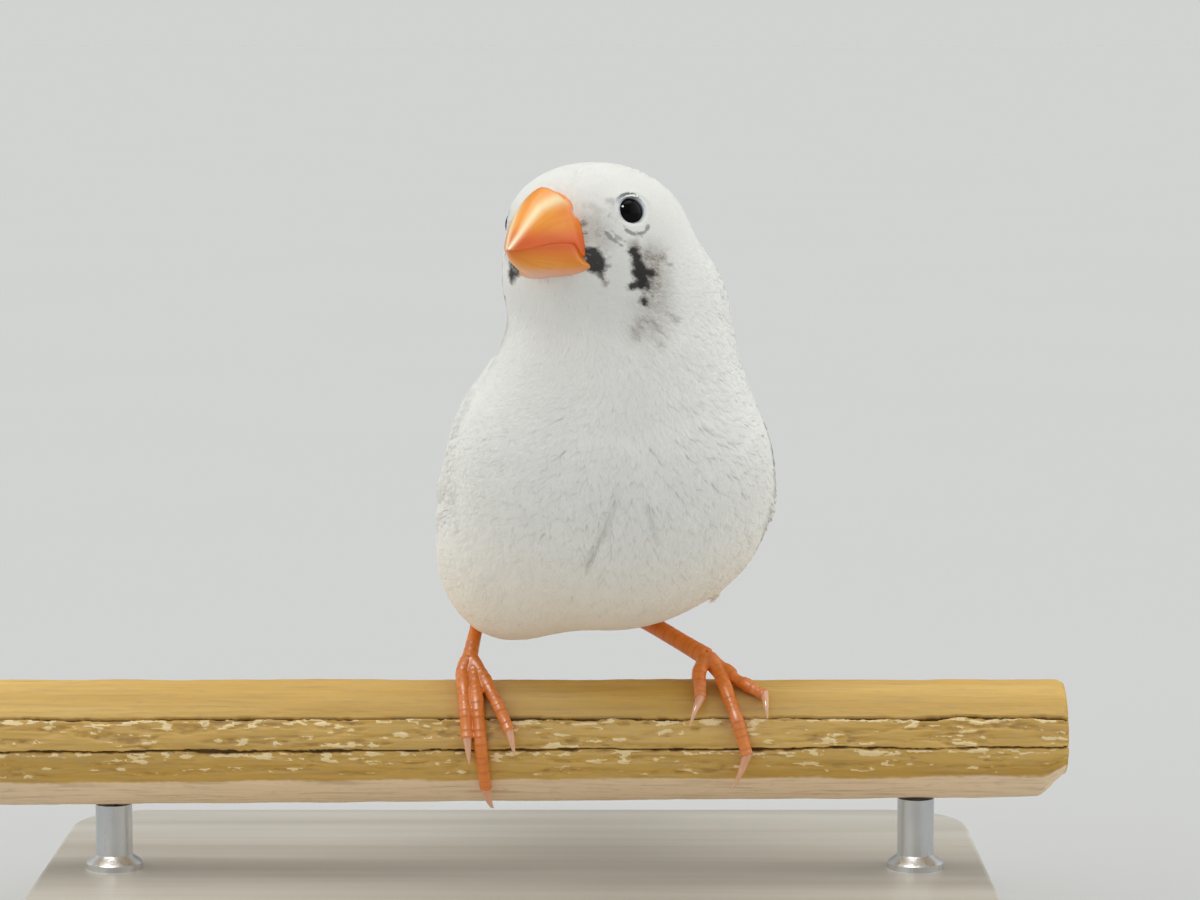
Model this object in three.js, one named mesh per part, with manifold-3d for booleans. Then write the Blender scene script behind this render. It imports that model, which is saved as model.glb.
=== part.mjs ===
// A white zebra finch with an orange bill, life size, gripping a short cut length of worn wooden
// perch that a plain display stand holds up.
//
// Millimetres, +Z up. The origin is the centre of the stand base's underside. The perch runs along
// X and the bird faces -Y, so its left side is towards +X. Everything above the stand is built in
// the bird's frame, whose origin lies on the perch's axis under the middle of the body.

import * as THREE from "three";
import { mergeVertices } from "three/addons/utils/BufferGeometryUtils.js";
import Module from "manifold-3d";

const wasm = await Module();
wasm.setup();

const degrees = THREE.MathUtils.degToRad;
const { lerp, smoothstep } = THREE.MathUtils;

// Clearance kept between pieces that touch.
const GAP = 0.3;

// The perch: a round bar, worn and gnawed, with shallow grooves along it.
const PERCH = {
  length: 120,
  radius: 6.4,
  taper: [1.07, 1],
  grooveDepth: 0.7,
  grooveHalfAngle: 5,
  grooveAngles: [60, 90, 240, 270],
  wear: 0.14,
  stations: 11,
  endChamfer: { length: 2.2, depth: 2.4 },
};

// The display stand.
const BASE = { width: 104, depth: 66, thickness: 7, corner: 9, bevel: 0.8 };
const ROD = { radius: 2, length: 8, intoPerch: 2, halfSpacing: 44, sides: 16 };

// Where the bird stands along the perch, from the perch's middle.
const BIRD_X = 10;

// The body leans its top towards the bird's left and turns its breast a little that way.
const BODY = { pivot: [0, 2, 27], turn: 4, lean: 5 };

// The head looks to the bird's right, a little raised, with the left eye the higher one.
const HEAD = { centre: [-1.3, -7, 54.6], turn: -34, raise: 5, tilt: 7 };

// Rounded masses that melt into one another. Sizes are half-widths across, along and up.
const MASSES = {
  breast: { place: "body", centre: [0, -6, 30.5], size: [17.2, 12, 15], melt: 5 },
  belly: { place: "body", centre: [0, 3.5, 25.6], size: [16.4, 17, 14], melt: 5 },
  back: { place: "body", centre: [0, 10, 32], size: [13, 17, 9.5], pitch: -24, melt: 6 },
  rump: { place: "body", centre: [0, 23, 23.5], size: [9.8, 17, 8.6], pitch: -18, melt: 6 },
  vent: { place: "body", centre: [0, 30, 20], size: [6.2, 13, 4.6], pitch: -16, melt: 4 },
  flankRight: { place: "bird", centre: [-10.3, 1.5, 20.8], size: [8.3, 11, 10.2], melt: 4 },
  flankLeft: { place: "bird", centre: [8.6, 1.5, 24.4], size: [7.6, 11, 6.9], melt: 4 },
  neck: { place: "bird", centre: [1.65, -3.5, 44], size: [11.85, 11.6, 12], melt: 6 },
  nape: { place: "bird", centre: [4, -2.5, 49], size: [7.7, 8, 6.2], melt: 4 },
  skull: { place: "head", centre: [0, 0.3, 0.3], size: [9.4, 8.5, 8.1], melt: 5 },
  brow: { place: "head", centre: [-1.6, -0.8, 2.85], size: [6.8, 6.3, 4.6], melt: 3 },
  crownLeft: { place: "head", centre: [2.1, 1.8, 1.2], size: [6.5, 8.7, 6.3], melt: 1.6 },
  crownRight: { place: "head", centre: [-2.1, 1.8, 1.2], size: [6.5, 8.7, 6.3], melt: 1.6 },
  cheek: { place: "head", centre: [-0.6, -1.4, -3.6], size: [8.6, 6.6, 5.6], melt: 3.5 },
};

// Where the body is parted: planes square to the neck, given by a point on them.
const PARTINGS = {
  normal: [0.05, -0.3, 0.95],
  neckBase: [0, -5, 39.5],
  neckTop: [0, -7, 47.2],
};

// Centres that each part's surface is drawn round, and how finely.
const TORSO_SURFACE = { centre: [0, 7, 27], detail: 8 };
const NECK_SURFACE = { centre: [0, -4.5, 44], detail: 7 };
const HEAD_SURFACE = { centre: [-1, -6.4, 53.4], detail: 7 };

// The eyes, in the head's frame: place on the left side, ball, opening and lids.
const EYE = {
  at: [7.8, -4, 2.6],
  looks: [0.86, -0.48, 0.16],
  ballRadius: 1.85,
  lidRadius: 1.6,
  lidThickness: 0.4,
  lidFlatness: 0.6,
  sink: 1.75,
};

// The bill, in the head's frame. Heights are from the mouth line at the tip.
const BILL = {
  rootY: -4.4,
  tipY: -16.1,
  tipZ: -1.5,
  upperHeight: 7.3,
  lowerDepth: 2.3,
  upperHalfWidth: 4.1,
  lowerHalfWidth: 3.8,
  jawFlare: 0.9,
  mouthArch: 0.75,
  gapeDrop: 1.3,
  stations: 12,
  arcPoints: 9,
};
const NOSTRIL = { at: [2.75, -7.7, 3.8], radius: 0.42 };

// The folded wing's outer form, in the body's frame: at each distance behind the wing's bend along
// the wing's own axis, its half-width out from the body's middle and its reach up and down.
const WING = {
  origin: [0, -6, 32.5],
  pitch: -12,
  form: [
    { along: -4, out: 12.8, reach: 11.5 },
    { along: 4, out: 16.7, reach: 13 },
    { along: 13, out: 16.4, reach: 14.2 },
    { along: 25, out: 13.2, reach: 13 },
    { along: 37, out: 8.6, reach: 11 },
    { along: 54, out: 4, reach: 8 },
  ],
  melt: 1.6,
  tuck: { from: 6.5, to: 11, height: 0.95 },
  buried: { along: -3, up: -8, depth: 1.4 },
  clear: { along: 5, up: -4, height: 0.5 },
  rear: { from: 13, to: 22 },
  rootLift: -0.5,
  edgeTilt: 0.22,
  pad: {
    from: -3,
    to: 27,
    top: 10,
    bottom: -8.5,
    lift: -0.2,
    edgeLift: -0.9,
    thickness: 5,
    stations: 14,
    outerRow: [0, 0.06, 0.2, 0.35, 0.5, 0.65, 0.8, 0.94, 1],
    innerRow: [0.9, 0.6, 0.35, 0.1],
  },
};

// Tiers of wing feathers, front tier first. Along and up are on the wing's form; each tier runs
// from its lowest feather to its highest one.
const WING_TIERS = [
  { name: "median coverts", count: 5, stations: 4, rootAlong: [4, 5.5], rootUp: [-2.2, 7.2],
    length: [7.5, 8], fall: [5, -4], width: 3.4, lift: 0.55, thickness: 0.6 },
  { name: "greater coverts", count: 6, stations: 4, rootAlong: [8.5, 10], rootUp: [-2.8, 7],
    length: [9, 10], fall: [4, -4], width: 3, lift: 0.45, thickness: 0.6 },
  { name: "tertials", count: 3, stations: 5, rootAlong: [13, 15], rootUp: [4.6, 8.8],
    length: [19, 13], fall: [0, -1], width: 4.6, lift: 0.4, thickness: 0.6 },
  { name: "secondaries", count: 4, stations: 5, rootAlong: [13, 15], rootUp: [-3.2, 2.8],
    length: [18, 20], fall: [2, -1], width: 3.4, lift: 0.2, thickness: 0.6 },
  { name: "primaries", count: 6, stations: 6, rootAlong: [15, 19], rootUp: [-3.6, -0.4],
    length: [19, 34.5], fall: [2.5, -1], width: 2.8, lift: 0, thickness: 0.6 },
];

// The tail: pairs of feathers fanned a little, each outer pair under the one inside it.
const TAIL = {
  root: [0, 31, 22],
  pitch: 18,
  pairs: 6,
  length: 38,
  outerShorter: 3.2,
  rootSpacing: 0.36,
  fan: 0.6,
  drop: 0.34,
  halfWidth: 2.9,
  thickness: 0.6,
  coverts: { pairs: 3, length: 15, rootSpacing: 1.2, fan: 1.6, halfWidth: 2.4, rise: 1 },
  clearance: { rootHalfWidth: 5, tipHalfWidth: 8, above: 1.8, below: 2.6 },
};

// Legs, in the bird's frame: where the plumage ends, the joint of the toes, and the heel.
const LEGS = {
  right: {
    heel: [-12.6, 8.6, 19],
    shankRadius: 0.7,
    toeJoint: [-14.9, -0.4, 8.9],
    toes: {
      outer: { x: [-15.6, -14.95], wrap: [6, 80], claw: { x: -14.7, wrap: 22, lift: 0.2 } },
      middle: { x: [-14.4, -13.0], wrap: [4, 127], claw: { x: -12.2, wrap: 30, lift: 0.5 } },
      inner: { x: [-13.6, -10.4], wrap: [8, 74], claw: { x: -9.8, wrap: 20, lift: 0.2 } },
      hind: { x: [-14.6, -14.0], wrap: [-14, -92], claw: { x: -13.8, wrap: -42, lift: 0.4 } },
    },
  },
  left: {
    heel: [2.2, 10, 12.9],
    shankRadius: 0.95,
    toeJoint: [10.9, -0.3, 9.1],
    toes: {
      outer: { x: [13.0, 17.1], wrap: [2, 40], claw: { x: 17.4, wrap: 24, lift: 0.4 } },
      middle: { x: [12.2, 15.2], wrap: [4, 94], claw: { x: 13.6, wrap: 32, lift: 0.3 } },
      inner: { x: [10.2, 10.2], wrap: [8, 44], claw: { x: 9.0, wrap: 26, lift: 0.2 } },
      hind: { x: [10.4, 9.4], wrap: [-14, -92], claw: { x: 9.0, wrap: -42, lift: 0.4 } },
    },
  },
};
const LEG = { heelRadius: 1.2, toeJointRadius: 1.3, waistAt: 0.6, sides: 10, stations: 8 };
const TOE = { radius: 0.84, tipRadius: 0.66, pad: 0.12, padsPerToe: 3, sides: 7, stations: 11 };
const CLAW = { radius: 0.5, tipRadius: 0.09, sides: 6, stations: 6 };

// Colours and finishes.
const LOOKS = {
  plumage: { color: 0xe9e9e2, roughness: 0.85, metalness: 0 },
  flight: { color: 0xe2e1d8, roughness: 0.7, metalness: 0 },
  bill: { color: 0xf0771c, roughness: 0.32, metalness: 0 },
  eye: { color: 0x0a0807, roughness: 0.08, metalness: 0 },
  leg: { color: 0xd56a2a, roughness: 0.5, metalness: 0 },
  claw: { color: 0xd9a078, roughness: 0.4, metalness: 0 },
  perch: { color: 0xd9bd86, roughness: 0.85, metalness: 0 },
  base: { color: 0xd6d2c8, roughness: 0.5, metalness: 0 },
  rod: { color: 0xb9bcbe, roughness: 0.3, metalness: 1 },
};

// A geometry as a closed solid, its shared corners merged.
function solidOf(geometry) {
  const bare = new THREE.BufferGeometry();
  bare.setAttribute("position", geometry.getAttribute("position"));
  bare.setIndex(geometry.index);
  const merged = mergeVertices(bare, 1e-4);
  const solid = new wasm.Manifold(
    new wasm.Mesh({
      numProp: 3,
      vertProperties: new Float32Array(merged.getAttribute("position").array),
      triVerts: new Uint32Array(merged.index.array),
    }),
  );
  return solid;
}

// The largest closed surface of a solid, as a geometry. Loose scraps and sealed hollows go.
function geometryOf(solid) {
  const pieces = solid.decompose().sort((a, b) => b.volume() - a.volume());
  const { numProp, vertProperties, triVerts } = pieces[0].getMesh();
  const corners = new Float32Array((vertProperties.length / numProp) * 3);
  for (let i = 0; i < corners.length / 3; i++) {
    corners.set(vertProperties.subarray(i * numProp, i * numProp + 3), i * 3);
  }
  const geometry = new THREE.BufferGeometry();
  geometry.setAttribute("position", new THREE.BufferAttribute(corners, 3));
  geometry.setIndex(new THREE.BufferAttribute(new Uint32Array(triVerts), 1));
  geometry.computeVertexNormals();
  return geometry;
}

// One solid from many.
function fuse(solids) {
  return solids.reduce((whole, piece) => whole.add(piece));
}

// A closed geometry from corners and faces, turned face out if it was made inside out.
function closedGeometry(corners, faces) {
  let sixVolumes = 0;
  for (let i = 0; i < faces.length; i += 3) {
    const [a, b, c] = [corners[faces[i]], corners[faces[i + 1]], corners[faces[i + 2]]];
    sixVolumes += a.dot(b.clone().cross(c));
  }
  if (sixVolumes < 0) {
    faces.reverse();
  }
  const geometry = new THREE.BufferGeometry().setFromPoints(corners);
  geometry.setIndex(faces);
  return geometry;
}

// A skin through rings of equally many points, each end closed on the middle of its ring.
function loft(rings) {
  const sides = rings[0].length;
  const corners = rings.flat();
  const faces = [];
  for (let i = 0; i + 1 < rings.length; i++) {
    for (let j = 0; j < sides; j++) {
      const here = i * sides + j;
      const next = i * sides + ((j + 1) % sides);
      faces.push(here, next, next + sides, here, next + sides, here + sides);
    }
  }
  const first = corners.length;
  const last = first + 1;
  for (const ring of [rings[0], rings[rings.length - 1]]) {
    corners.push(ring.reduce((sum, p) => sum.add(p), new THREE.Vector3()).divideScalar(sides));
  }
  const lastRing = (rings.length - 1) * sides;
  for (let j = 0; j < sides; j++) {
    const next = (j + 1) % sides;
    faces.push(first, next, j);
    faces.push(last, lastRing + j, lastRing + next);
  }
  return closedGeometry(corners, faces);
}

// A round tube along a smooth curve through points, its radius given by the share of its length.
function tube(points, radiusAt, sides, stations) {
  const curve = new THREE.CatmullRomCurve3(points, false, "centripetal");
  const frames = curve.computeFrenetFrames(stations - 1, false);
  const rings = [];
  for (let i = 0; i < stations; i++) {
    const share = i / (stations - 1);
    const middle = curve.getPointAt(share);
    const radius = radiusAt(share);
    const ring = [];
    for (let j = 0; j < sides; j++) {
      const angle = (2 * Math.PI * j) / sides;
      ring.push(
        middle
          .clone()
          .addScaledVector(frames.normals[i], radius * Math.cos(angle))
          .addScaledVector(frames.binormals[i], radius * Math.sin(angle)),
      );
    }
    rings.push(ring);
  }
  return loft(rings);
}

// A thin feather through stations that each have a left, middle and right edge point and a normal.
// Both faces are split into triangles alike, so that they can't cross where the feather bends.
function feather(stations, thickness) {
  const corners = [];
  for (const { left, right, normal, share } of stations) {
    const half = normal.clone().multiplyScalar((thickness / 2) * lerp(1, 0.7, share));
    corners.push(left.clone().add(half), right.clone().add(half));
    corners.push(left.clone().sub(half), right.clone().sub(half));
  }
  const [leftTop, rightTop, leftUnder, rightUnder] = [0, 1, 2, 3];
  const faces = [];
  for (let i = 0; i + 1 < stations.length; i++) {
    const here = 4 * i;
    const next = here + 4;
    faces.push(here + leftTop, here + rightTop, next + rightTop);
    faces.push(here + leftTop, next + rightTop, next + leftTop);
    faces.push(here + leftUnder, next + rightUnder, here + rightUnder);
    faces.push(here + leftUnder, next + leftUnder, next + rightUnder);
    faces.push(here + rightTop, here + rightUnder, next + rightUnder);
    faces.push(here + rightTop, next + rightUnder, next + rightTop);
    faces.push(here + leftUnder, here + leftTop, next + leftTop);
    faces.push(here + leftUnder, next + leftTop, next + leftUnder);
  }
  const end = 4 * (stations.length - 1);
  faces.push(leftTop, leftUnder, rightUnder, leftTop, rightUnder, rightTop);
  faces.push(end + leftTop, end + rightUnder, end + leftUnder);
  faces.push(end + leftTop, end + rightTop, end + rightUnder);
  return closedGeometry(corners, faces);
}

// How wide a flight feather is along its length, as a share of its full half-width.
function featherWidth(share) {
  const quill = smoothstep(share, -0.25, 0.35);
  const roundTip = Math.sqrt(Math.max(0, 1 - Math.pow(Math.max(0, (share - 0.72) / 0.3), 2)));
  return quill * roundTip;
}

// A matrix that turns, pitches and rolls about a point: nose up is positive pitch.
function placement(centre, turn, pitch, roll, pivot = [0, 0, 0]) {
  const rotation = new THREE.Euler(-degrees(pitch), -degrees(roll), degrees(turn), "ZXY");
  return new THREE.Matrix4()
    .makeTranslation(...centre)
    .multiply(new THREE.Matrix4().makeRotationFromEuler(rotation))
    .multiply(new THREE.Matrix4().makeTranslation(-pivot[0], -pivot[1], -pivot[2]));
}

const bodyPlace = placement(BODY.pivot, BODY.turn, 0, -BODY.lean, BODY.pivot);
const headPlace = placement(HEAD.centre, HEAD.turn, HEAD.raise, HEAD.tilt);
const places = { bird: new THREE.Matrix4(), body: bodyPlace, head: headPlace };

const masses = Object.values(MASSES).map(({ place, centre, size, pitch = 0, melt }) => ({
  inverse: places[place].clone().multiply(placement(centre, 0, -pitch, 0)).invert(),
  size,
  melt,
}));

// Distance from a point to a rounded mass, near enough close to its surface; negative inside.
function distanceToMass(point, { inverse, size: [a, b, c] }) {
  const p = point.clone().applyMatrix4(inverse);
  const reach = Math.hypot(p.x / a, p.y / b, p.z / c);
  const slope = Math.hypot(p.x / (a * a), p.y / (b * b), p.z / (c * c));
  return slope > 0 ? (reach * (reach - 1)) / slope : -Math.min(a, b, c);
}

// Distance from a point to the whole body, with the masses melted together.
function distanceToBody(point) {
  let distance = Infinity;
  for (const mass of masses) {
    const next = distanceToMass(point, mass);
    const blend = Math.max(0, mass.melt - Math.abs(distance - next)) / mass.melt;
    distance = Math.min(distance, next) - (blend * blend * mass.melt) / 4;
  }
  return distance;
}

// How far along a ray from inside the body its surface lies, grown outwards by `grow`.
function reachOfBody(origin, ray, grow) {
  const at = (reach) => distanceToBody(origin.clone().addScaledVector(ray, reach)) - grow;
  const step = 0.5;
  let outside = step;
  while (at(outside) < 0) {
    outside += step;
  }
  let inside = outside - step;
  for (let i = 0; i < 16; i++) {
    const middle = (inside + outside) / 2;
    if (at(middle) < 0) {
      inside = middle;
    } else {
      outside = middle;
    }
  }
  return outside;
}

// The body's surface as seen from a centre inside it, as a solid.
function bodySolid({ centre, detail }, grow = 0) {
  const origin = new THREE.Vector3(...centre);
  const ball = new THREE.IcosahedronGeometry(1, detail);
  ball.deleteAttribute("normal");
  ball.deleteAttribute("uv");
  const surface = mergeVertices(ball, 1e-4);
  const position = surface.getAttribute("position");
  const ray = new THREE.Vector3();
  for (let i = 0; i < position.count; i++) {
    ray.fromBufferAttribute(position, i).normalize();
    const corner = origin.clone().addScaledVector(ray, reachOfBody(origin, ray, grow));
    position.setXYZ(i, corner.x, corner.y, corner.z);
  }
  return solidOf(surface);
}

// The part of a solid on the far side of a plane, which is moved along its normal by `shift`.
function keepBeyond(solid, point, normal, shift) {
  const unit = new THREE.Vector3(...normal).normalize();
  return solid.trimByPlane(unit.toArray(), unit.dot(new THREE.Vector3(...point)) + shift);
}

const backwards = PARTINGS.normal.map((part) => -part);

function torsoSolid() {
  return keepBeyond(bodySolid(TORSO_SURFACE), PARTINGS.neckBase, backwards, GAP / 2);
}

function neckSolid() {
  const whole = bodySolid(NECK_SURFACE);
  const open = keepBeyond(whole, PARTINGS.neckBase, PARTINGS.normal, GAP / 2);
  return keepBeyond(open, PARTINGS.neckTop, backwards, GAP / 2);
}

// The middle of an eyeball and the way it looks. `side` is 1 for the left eye.
function eyeFrame(side) {
  const mirror = new THREE.Vector3(side, 1, 1);
  const looks = new THREE.Vector3(...EYE.looks).multiply(mirror).normalize();
  const at = new THREE.Vector3(...EYE.at).multiply(mirror).addScaledVector(looks, -3);
  looks.transformDirection(headPlace);
  at.applyMatrix4(headPlace);
  return { middle: at.addScaledVector(looks, reachOfBody(at, looks, 0) - EYE.sink), looks };
}

function eyeballSolid(side, grow = 0) {
  const { middle } = eyeFrame(side);
  const ball = new THREE.IcosahedronGeometry(EYE.ballRadius + grow, 2);
  ball.translate(...middle.toArray());
  return solidOf(ball);
}

// The ring of bare lid round an eye.
function lidSolid(side) {
  const { middle, looks } = eyeFrame(side);
  const ring = new THREE.TorusGeometry(EYE.lidRadius, EYE.lidThickness, 6, 18);
  const reach = EYE.ballRadius + GAP + EYE.lidThickness / 4;
  const height = Math.sqrt(reach ** 2 - EYE.lidRadius ** 2);
  ring.scale(1, 1, EYE.lidFlatness);
  ring.applyQuaternion(new THREE.Quaternion().setFromUnitVectors(new THREE.Vector3(0, 0, 1), looks));
  ring.translate(...middle.addScaledVector(looks, height).toArray());
  return solidOf(ring);
}

function headSolid() {
  const whole = bodySolid(HEAD_SURFACE);
  let head = keepBeyond(whole, PARTINGS.neckTop, PARTINGS.normal, GAP / 2);
  for (const side of [1, -1]) {
    head = head.add(lidSolid(side)).subtract(eyeballSolid(side, GAP));
  }
  return head;
}

// The height of the line between the mandibles, from the bill's tip back to its root.
function mouthLine(share) {
  const arch = BILL.mouthArch * smoothstep(share, 0, 0.45);
  const gape = BILL.gapeDrop * smoothstep(share, 0.6, 0.68);
  return BILL.tipZ + arch - gape;
}

// How much of its full size a mandible has reached, rising steeply from the tip and then level.
function swelling(share, speed, power) {
  return Math.pow(Math.sin((Math.PI / 2) * Math.min(1, share * speed)), power);
}

// The half-width of a mandible and its height from the mouth line, at a share of its growth.
function mandibleSize(isUpper, grown, share) {
  if (isUpper) {
    return {
      halfWidth: BILL.upperHalfWidth * swelling(grown, 1.2, 0.75),
      height: BILL.upperHeight * swelling(grown, 1, 0.88),
    };
  }
  const jaw = BILL.jawFlare * smoothstep(share, 0.5, 0.78);
  const underside = BILL.tipZ - BILL.lowerDepth * swelling(grown, 2.2, 0.8);
  return {
    halfWidth: BILL.lowerHalfWidth * swelling(grown, 1.3, 0.7) + jaw,
    height: Math.max(0.05, mouthLine(share) - underside),
  };
}

// One mandible: rings that are arched on one side and flat along the mouth line. `side` is 1 for
// the upper one and -1 for the lower one, whose sides stand steeper.
function mandibleGeometry(side) {
  const isUpper = side > 0;
  const tipShare = isUpper ? 0 : 0.04;
  const rings = [];
  for (let i = 0; i < BILL.stations; i++) {
    const grown = Math.max(0.01, Math.pow(i / (BILL.stations - 1), 1.35));
    const share = lerp(tipShare, 1, grown);
    const { halfWidth, height } = mandibleSize(isUpper, grown, share);
    const steepness = isUpper ? 1 : lerp(1, 0.62, smoothstep(share, 0.3, 0.8));
    const base = mouthLine(share) + (side * GAP) / 2;
    const y = lerp(BILL.tipY, BILL.rootY, share);
    const ring = [];
    for (let j = 0; j < BILL.arcPoints; j++) {
      const angle = (Math.PI * j) / (BILL.arcPoints - 1);
      const x = halfWidth * Math.sign(Math.cos(angle)) * Math.abs(Math.cos(angle)) ** steepness;
      ring.push(new THREE.Vector3(x, y, base + side * height * Math.sin(angle)));
    }
    rings.push(ring);
  }
  return loft(rings).applyMatrix4(headPlace);
}

function nostrilSolid(side) {
  const pit = new THREE.IcosahedronGeometry(NOSTRIL.radius, 1);
  pit.scale(1.4, 1, 1);
  pit.translate(NOSTRIL.at[0] * side, NOSTRIL.at[1], NOSTRIL.at[2]);
  return solidOf(pit.applyMatrix4(headPlace));
}

function billSolid(side) {
  let bill = solidOf(mandibleGeometry(side)).subtract(bodySolid(HEAD_SURFACE, GAP));
  if (side > 0) {
    bill = bill.subtract(nostrilSolid(1)).subtract(nostrilSolid(-1));
  }
  return bill;
}

// The folded wing's outer form, as smooth curves through its named stations.
const wingCurve = new THREE.CatmullRomCurve3(
  WING.form.map(({ along, out, reach }) => new THREE.Vector3(along, out, reach)),
);

function wingStation(along) {
  let [low, high] = [0, 1];
  for (let i = 0; i < 24; i++) {
    const middle = (low + high) / 2;
    if (wingCurve.getPoint(middle).x < along) {
      low = middle;
    } else {
      high = middle;
    }
  }
  return wingCurve.getPoint(low);
}

const wingPlace = placement(WING.origin, 0, -WING.pitch, 0);

// How high the wing lies above the body's surface. Its front and the lower edge beside the flank are
// buried in the plumage, and the rest of it lies clear.
function wingHeight(along, up) {
  const { buried, clear, rear } = WING;
  const fromFront = smoothstep(along, buried.along, clear.along);
  const fromFlank = smoothstep(up, buried.up, clear.up);
  const fromBelow = Math.max(fromFlank, smoothstep(along, rear.from, rear.to));
  return lerp(-buried.depth, clear.height, Math.min(fromFront, fromBelow));
}

// A point on the wing, raised above it by `lift`: on the wing's own outer form or on the body's
// surface, whichever is further out. The upper edge is tucked down onto the back. `side` is 1 for
// the left wing.
function wingPoint(side, along, up, lift) {
  const { y: out, z: reach } = wingStation(along);
  const round = Math.sqrt(Math.max(0.04, 1 - (up / reach) ** 2));
  const inner = new THREE.Vector3(0, along, up * 0.35);
  const outer = new THREE.Vector3(out * round * side, along, up);
  for (const place of [inner, outer]) {
    place.applyMatrix4(wingPlace).applyMatrix4(bodyPlace);
  }
  const ray = outer.sub(inner);
  const formReach = ray.length();
  ray.normalize();
  const bodyReach = reachOfBody(inner, ray, wingHeight(along, up));
  const blend = Math.max(0, WING.melt - Math.abs(formReach - bodyReach)) / WING.melt;
  const melted = Math.max(formReach, bodyReach) + (blend * blend * WING.melt) / 4;
  const tucked = smoothstep(up, WING.tuck.from, WING.tuck.to);
  const onBack = Math.min(melted, bodyReach - wingHeight(along, up) + WING.tuck.height);
  return inner.addScaledVector(ray, lerp(melted, onBack, tucked) + lift);
}

// A feather lying on the wing's form from a root, falling away from the wing's axis by an angle.
// Its lower edge lies over the feather below it.
function wingFeather(side, { along, up, length, fall, width, lift, thickness, stations }) {
  const rows = [];
  for (let i = 0; i < stations; i++) {
    const share = i / (stations - 1);
    const half = (width / 2) * Math.max(0.14, featherWidth(share));
    const middleAlong = along + length * share * Math.cos(degrees(fall));
    const middleUp = up - length * share * Math.sin(degrees(fall));
    const height = lerp(WING.rootLift, lift, smoothstep(share, 0, 0.5));
    const left = wingPoint(side, middleAlong, middleUp - half, height + WING.edgeTilt);
    const right = wingPoint(side, middleAlong, middleUp + half, height - WING.edgeTilt);
    const above = wingPoint(side, middleAlong, middleUp, height + 1);
    const normal = above.sub(wingPoint(side, middleAlong, middleUp, height)).normalize();
    rows.push({ left, right, normal, share });
  }
  return solidOf(feather(rows, thickness));
}

// The wing's fleshy front part with its smallest feathers, as a smooth pad: a row of points on
// the wing's form from its lower edge to its upper one, and a row back inside the body.
function wingPadSolid(side) {
  const { from, to, top, bottom, lift, edgeLift, thickness, stations, outerRow, innerRow } = WING.pad;
  const rings = [];
  for (let i = 0; i < stations; i++) {
    const share = i / (stations - 1);
    const along = lerp(from, to, share);
    const swell = Math.pow(Math.sin(Math.PI * lerp(0.1, 0.93, share)), 0.6);
    const across = (up) => lerp(bottom, top, 0.5 + (up - 0.5) * swell);
    const outer = outerRow.map((up) => {
      const isEdge = up === 0 || up === 1;
      return wingPoint(side, along, across(up), isEdge ? edgeLift : lift);
    });
    const inner = innerRow.map((up) => wingPoint(side, along, across(up), -thickness));
    rings.push([...outer, ...inner]);
  }
  return solidOf(loft(rings));
}

function wingSolid(side, grownTorso, tailRoom) {
  const feathers = [];
  for (const tier of WING_TIERS) {
    for (let i = 0; i < tier.count; i++) {
      const share = i / (tier.count - 1);
      feathers.push(
        wingFeather(side, {
          ...tier,
          along: lerp(...tier.rootAlong, share),
          up: lerp(...tier.rootUp, share),
          length: lerp(...tier.length, share),
          fall: lerp(...tier.fall, share),
        }),
      );
    }
  }
  return fuse([wingPadSolid(side), ...feathers]).subtract(grownTorso).subtract(tailRoom);
}

// One tail feather: `offset` counts pairs out from the middle, `side` is 1 for the left half.
function tailFeather(side, offset, { length, rootSpacing, fan, halfWidth, level, thickness }) {
  const count = 6;
  const angle = degrees(fan * (offset + 0.5)) * side;
  const rootX = rootSpacing * (offset + 0.5) * side;
  const stations = [];
  for (let i = 0; i < count; i++) {
    const share = i / (count - 1);
    const half = halfWidth * Math.max(0.2, featherWidth(share));
    const middle = new THREE.Vector3(rootX + Math.sin(angle) * length * share, length * share, level);
    const outer = half * side;
    const left = middle.clone().add(new THREE.Vector3(-half, 0, -0.12 * outer));
    const right = middle.clone().add(new THREE.Vector3(half, 0, 0.12 * -outer));
    stations.push({ left, right, normal: new THREE.Vector3(0, 0, 1), share });
  }
  return solidOf(feather(stations, thickness).applyMatrix4(tailPlace));
}

const tailPlace = bodyPlace.clone().multiply(placement(TAIL.root, 0, TAIL.pitch, 0));

// The room that the tail takes up, which the wings are cut clear of.
function tailRoomSolid() {
  const { rootHalfWidth, tipHalfWidth, above, below } = TAIL.clearance;
  const rings = [
    [-6, rootHalfWidth],
    [TAIL.length, tipHalfWidth],
  ].map(([y, half]) => [
    new THREE.Vector3(-half, y, -below),
    new THREE.Vector3(half, y, -below),
    new THREE.Vector3(half, y, above),
    new THREE.Vector3(-half, y, above),
  ]);
  return solidOf(loft(rings).applyMatrix4(tailPlace));
}

function tailSolid(grownTorso) {
  const feathers = [];
  for (const side of [1, -1]) {
    for (let pair = 0; pair < TAIL.pairs; pair++) {
      feathers.push(
        tailFeather(side, pair, {
          ...TAIL,
          length: TAIL.length - TAIL.outerShorter * (pair / (TAIL.pairs - 1)) ** 2,
          level: -TAIL.drop * (pair + (side > 0 ? 0 : 0.5)),
        }),
      );
    }
    for (let pair = 0; pair < TAIL.coverts.pairs; pair++) {
      feathers.push(
        tailFeather(side, pair, {
          ...TAIL,
          ...TAIL.coverts,
          length: TAIL.coverts.length - pair * 2,
          level: TAIL.coverts.rise - 0.3 * pair,
        }),
      );
    }
  }
  const root = new THREE.IcosahedronGeometry(1, 4);
  root.scale(4.6, 9, 2.2);
  root.translate(0, 3, -0.6);
  const rootSolid = solidOf(root.applyMatrix4(tailPlace));
  return fuse([rootSolid, ...feathers]).subtract(grownTorso);
}

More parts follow.
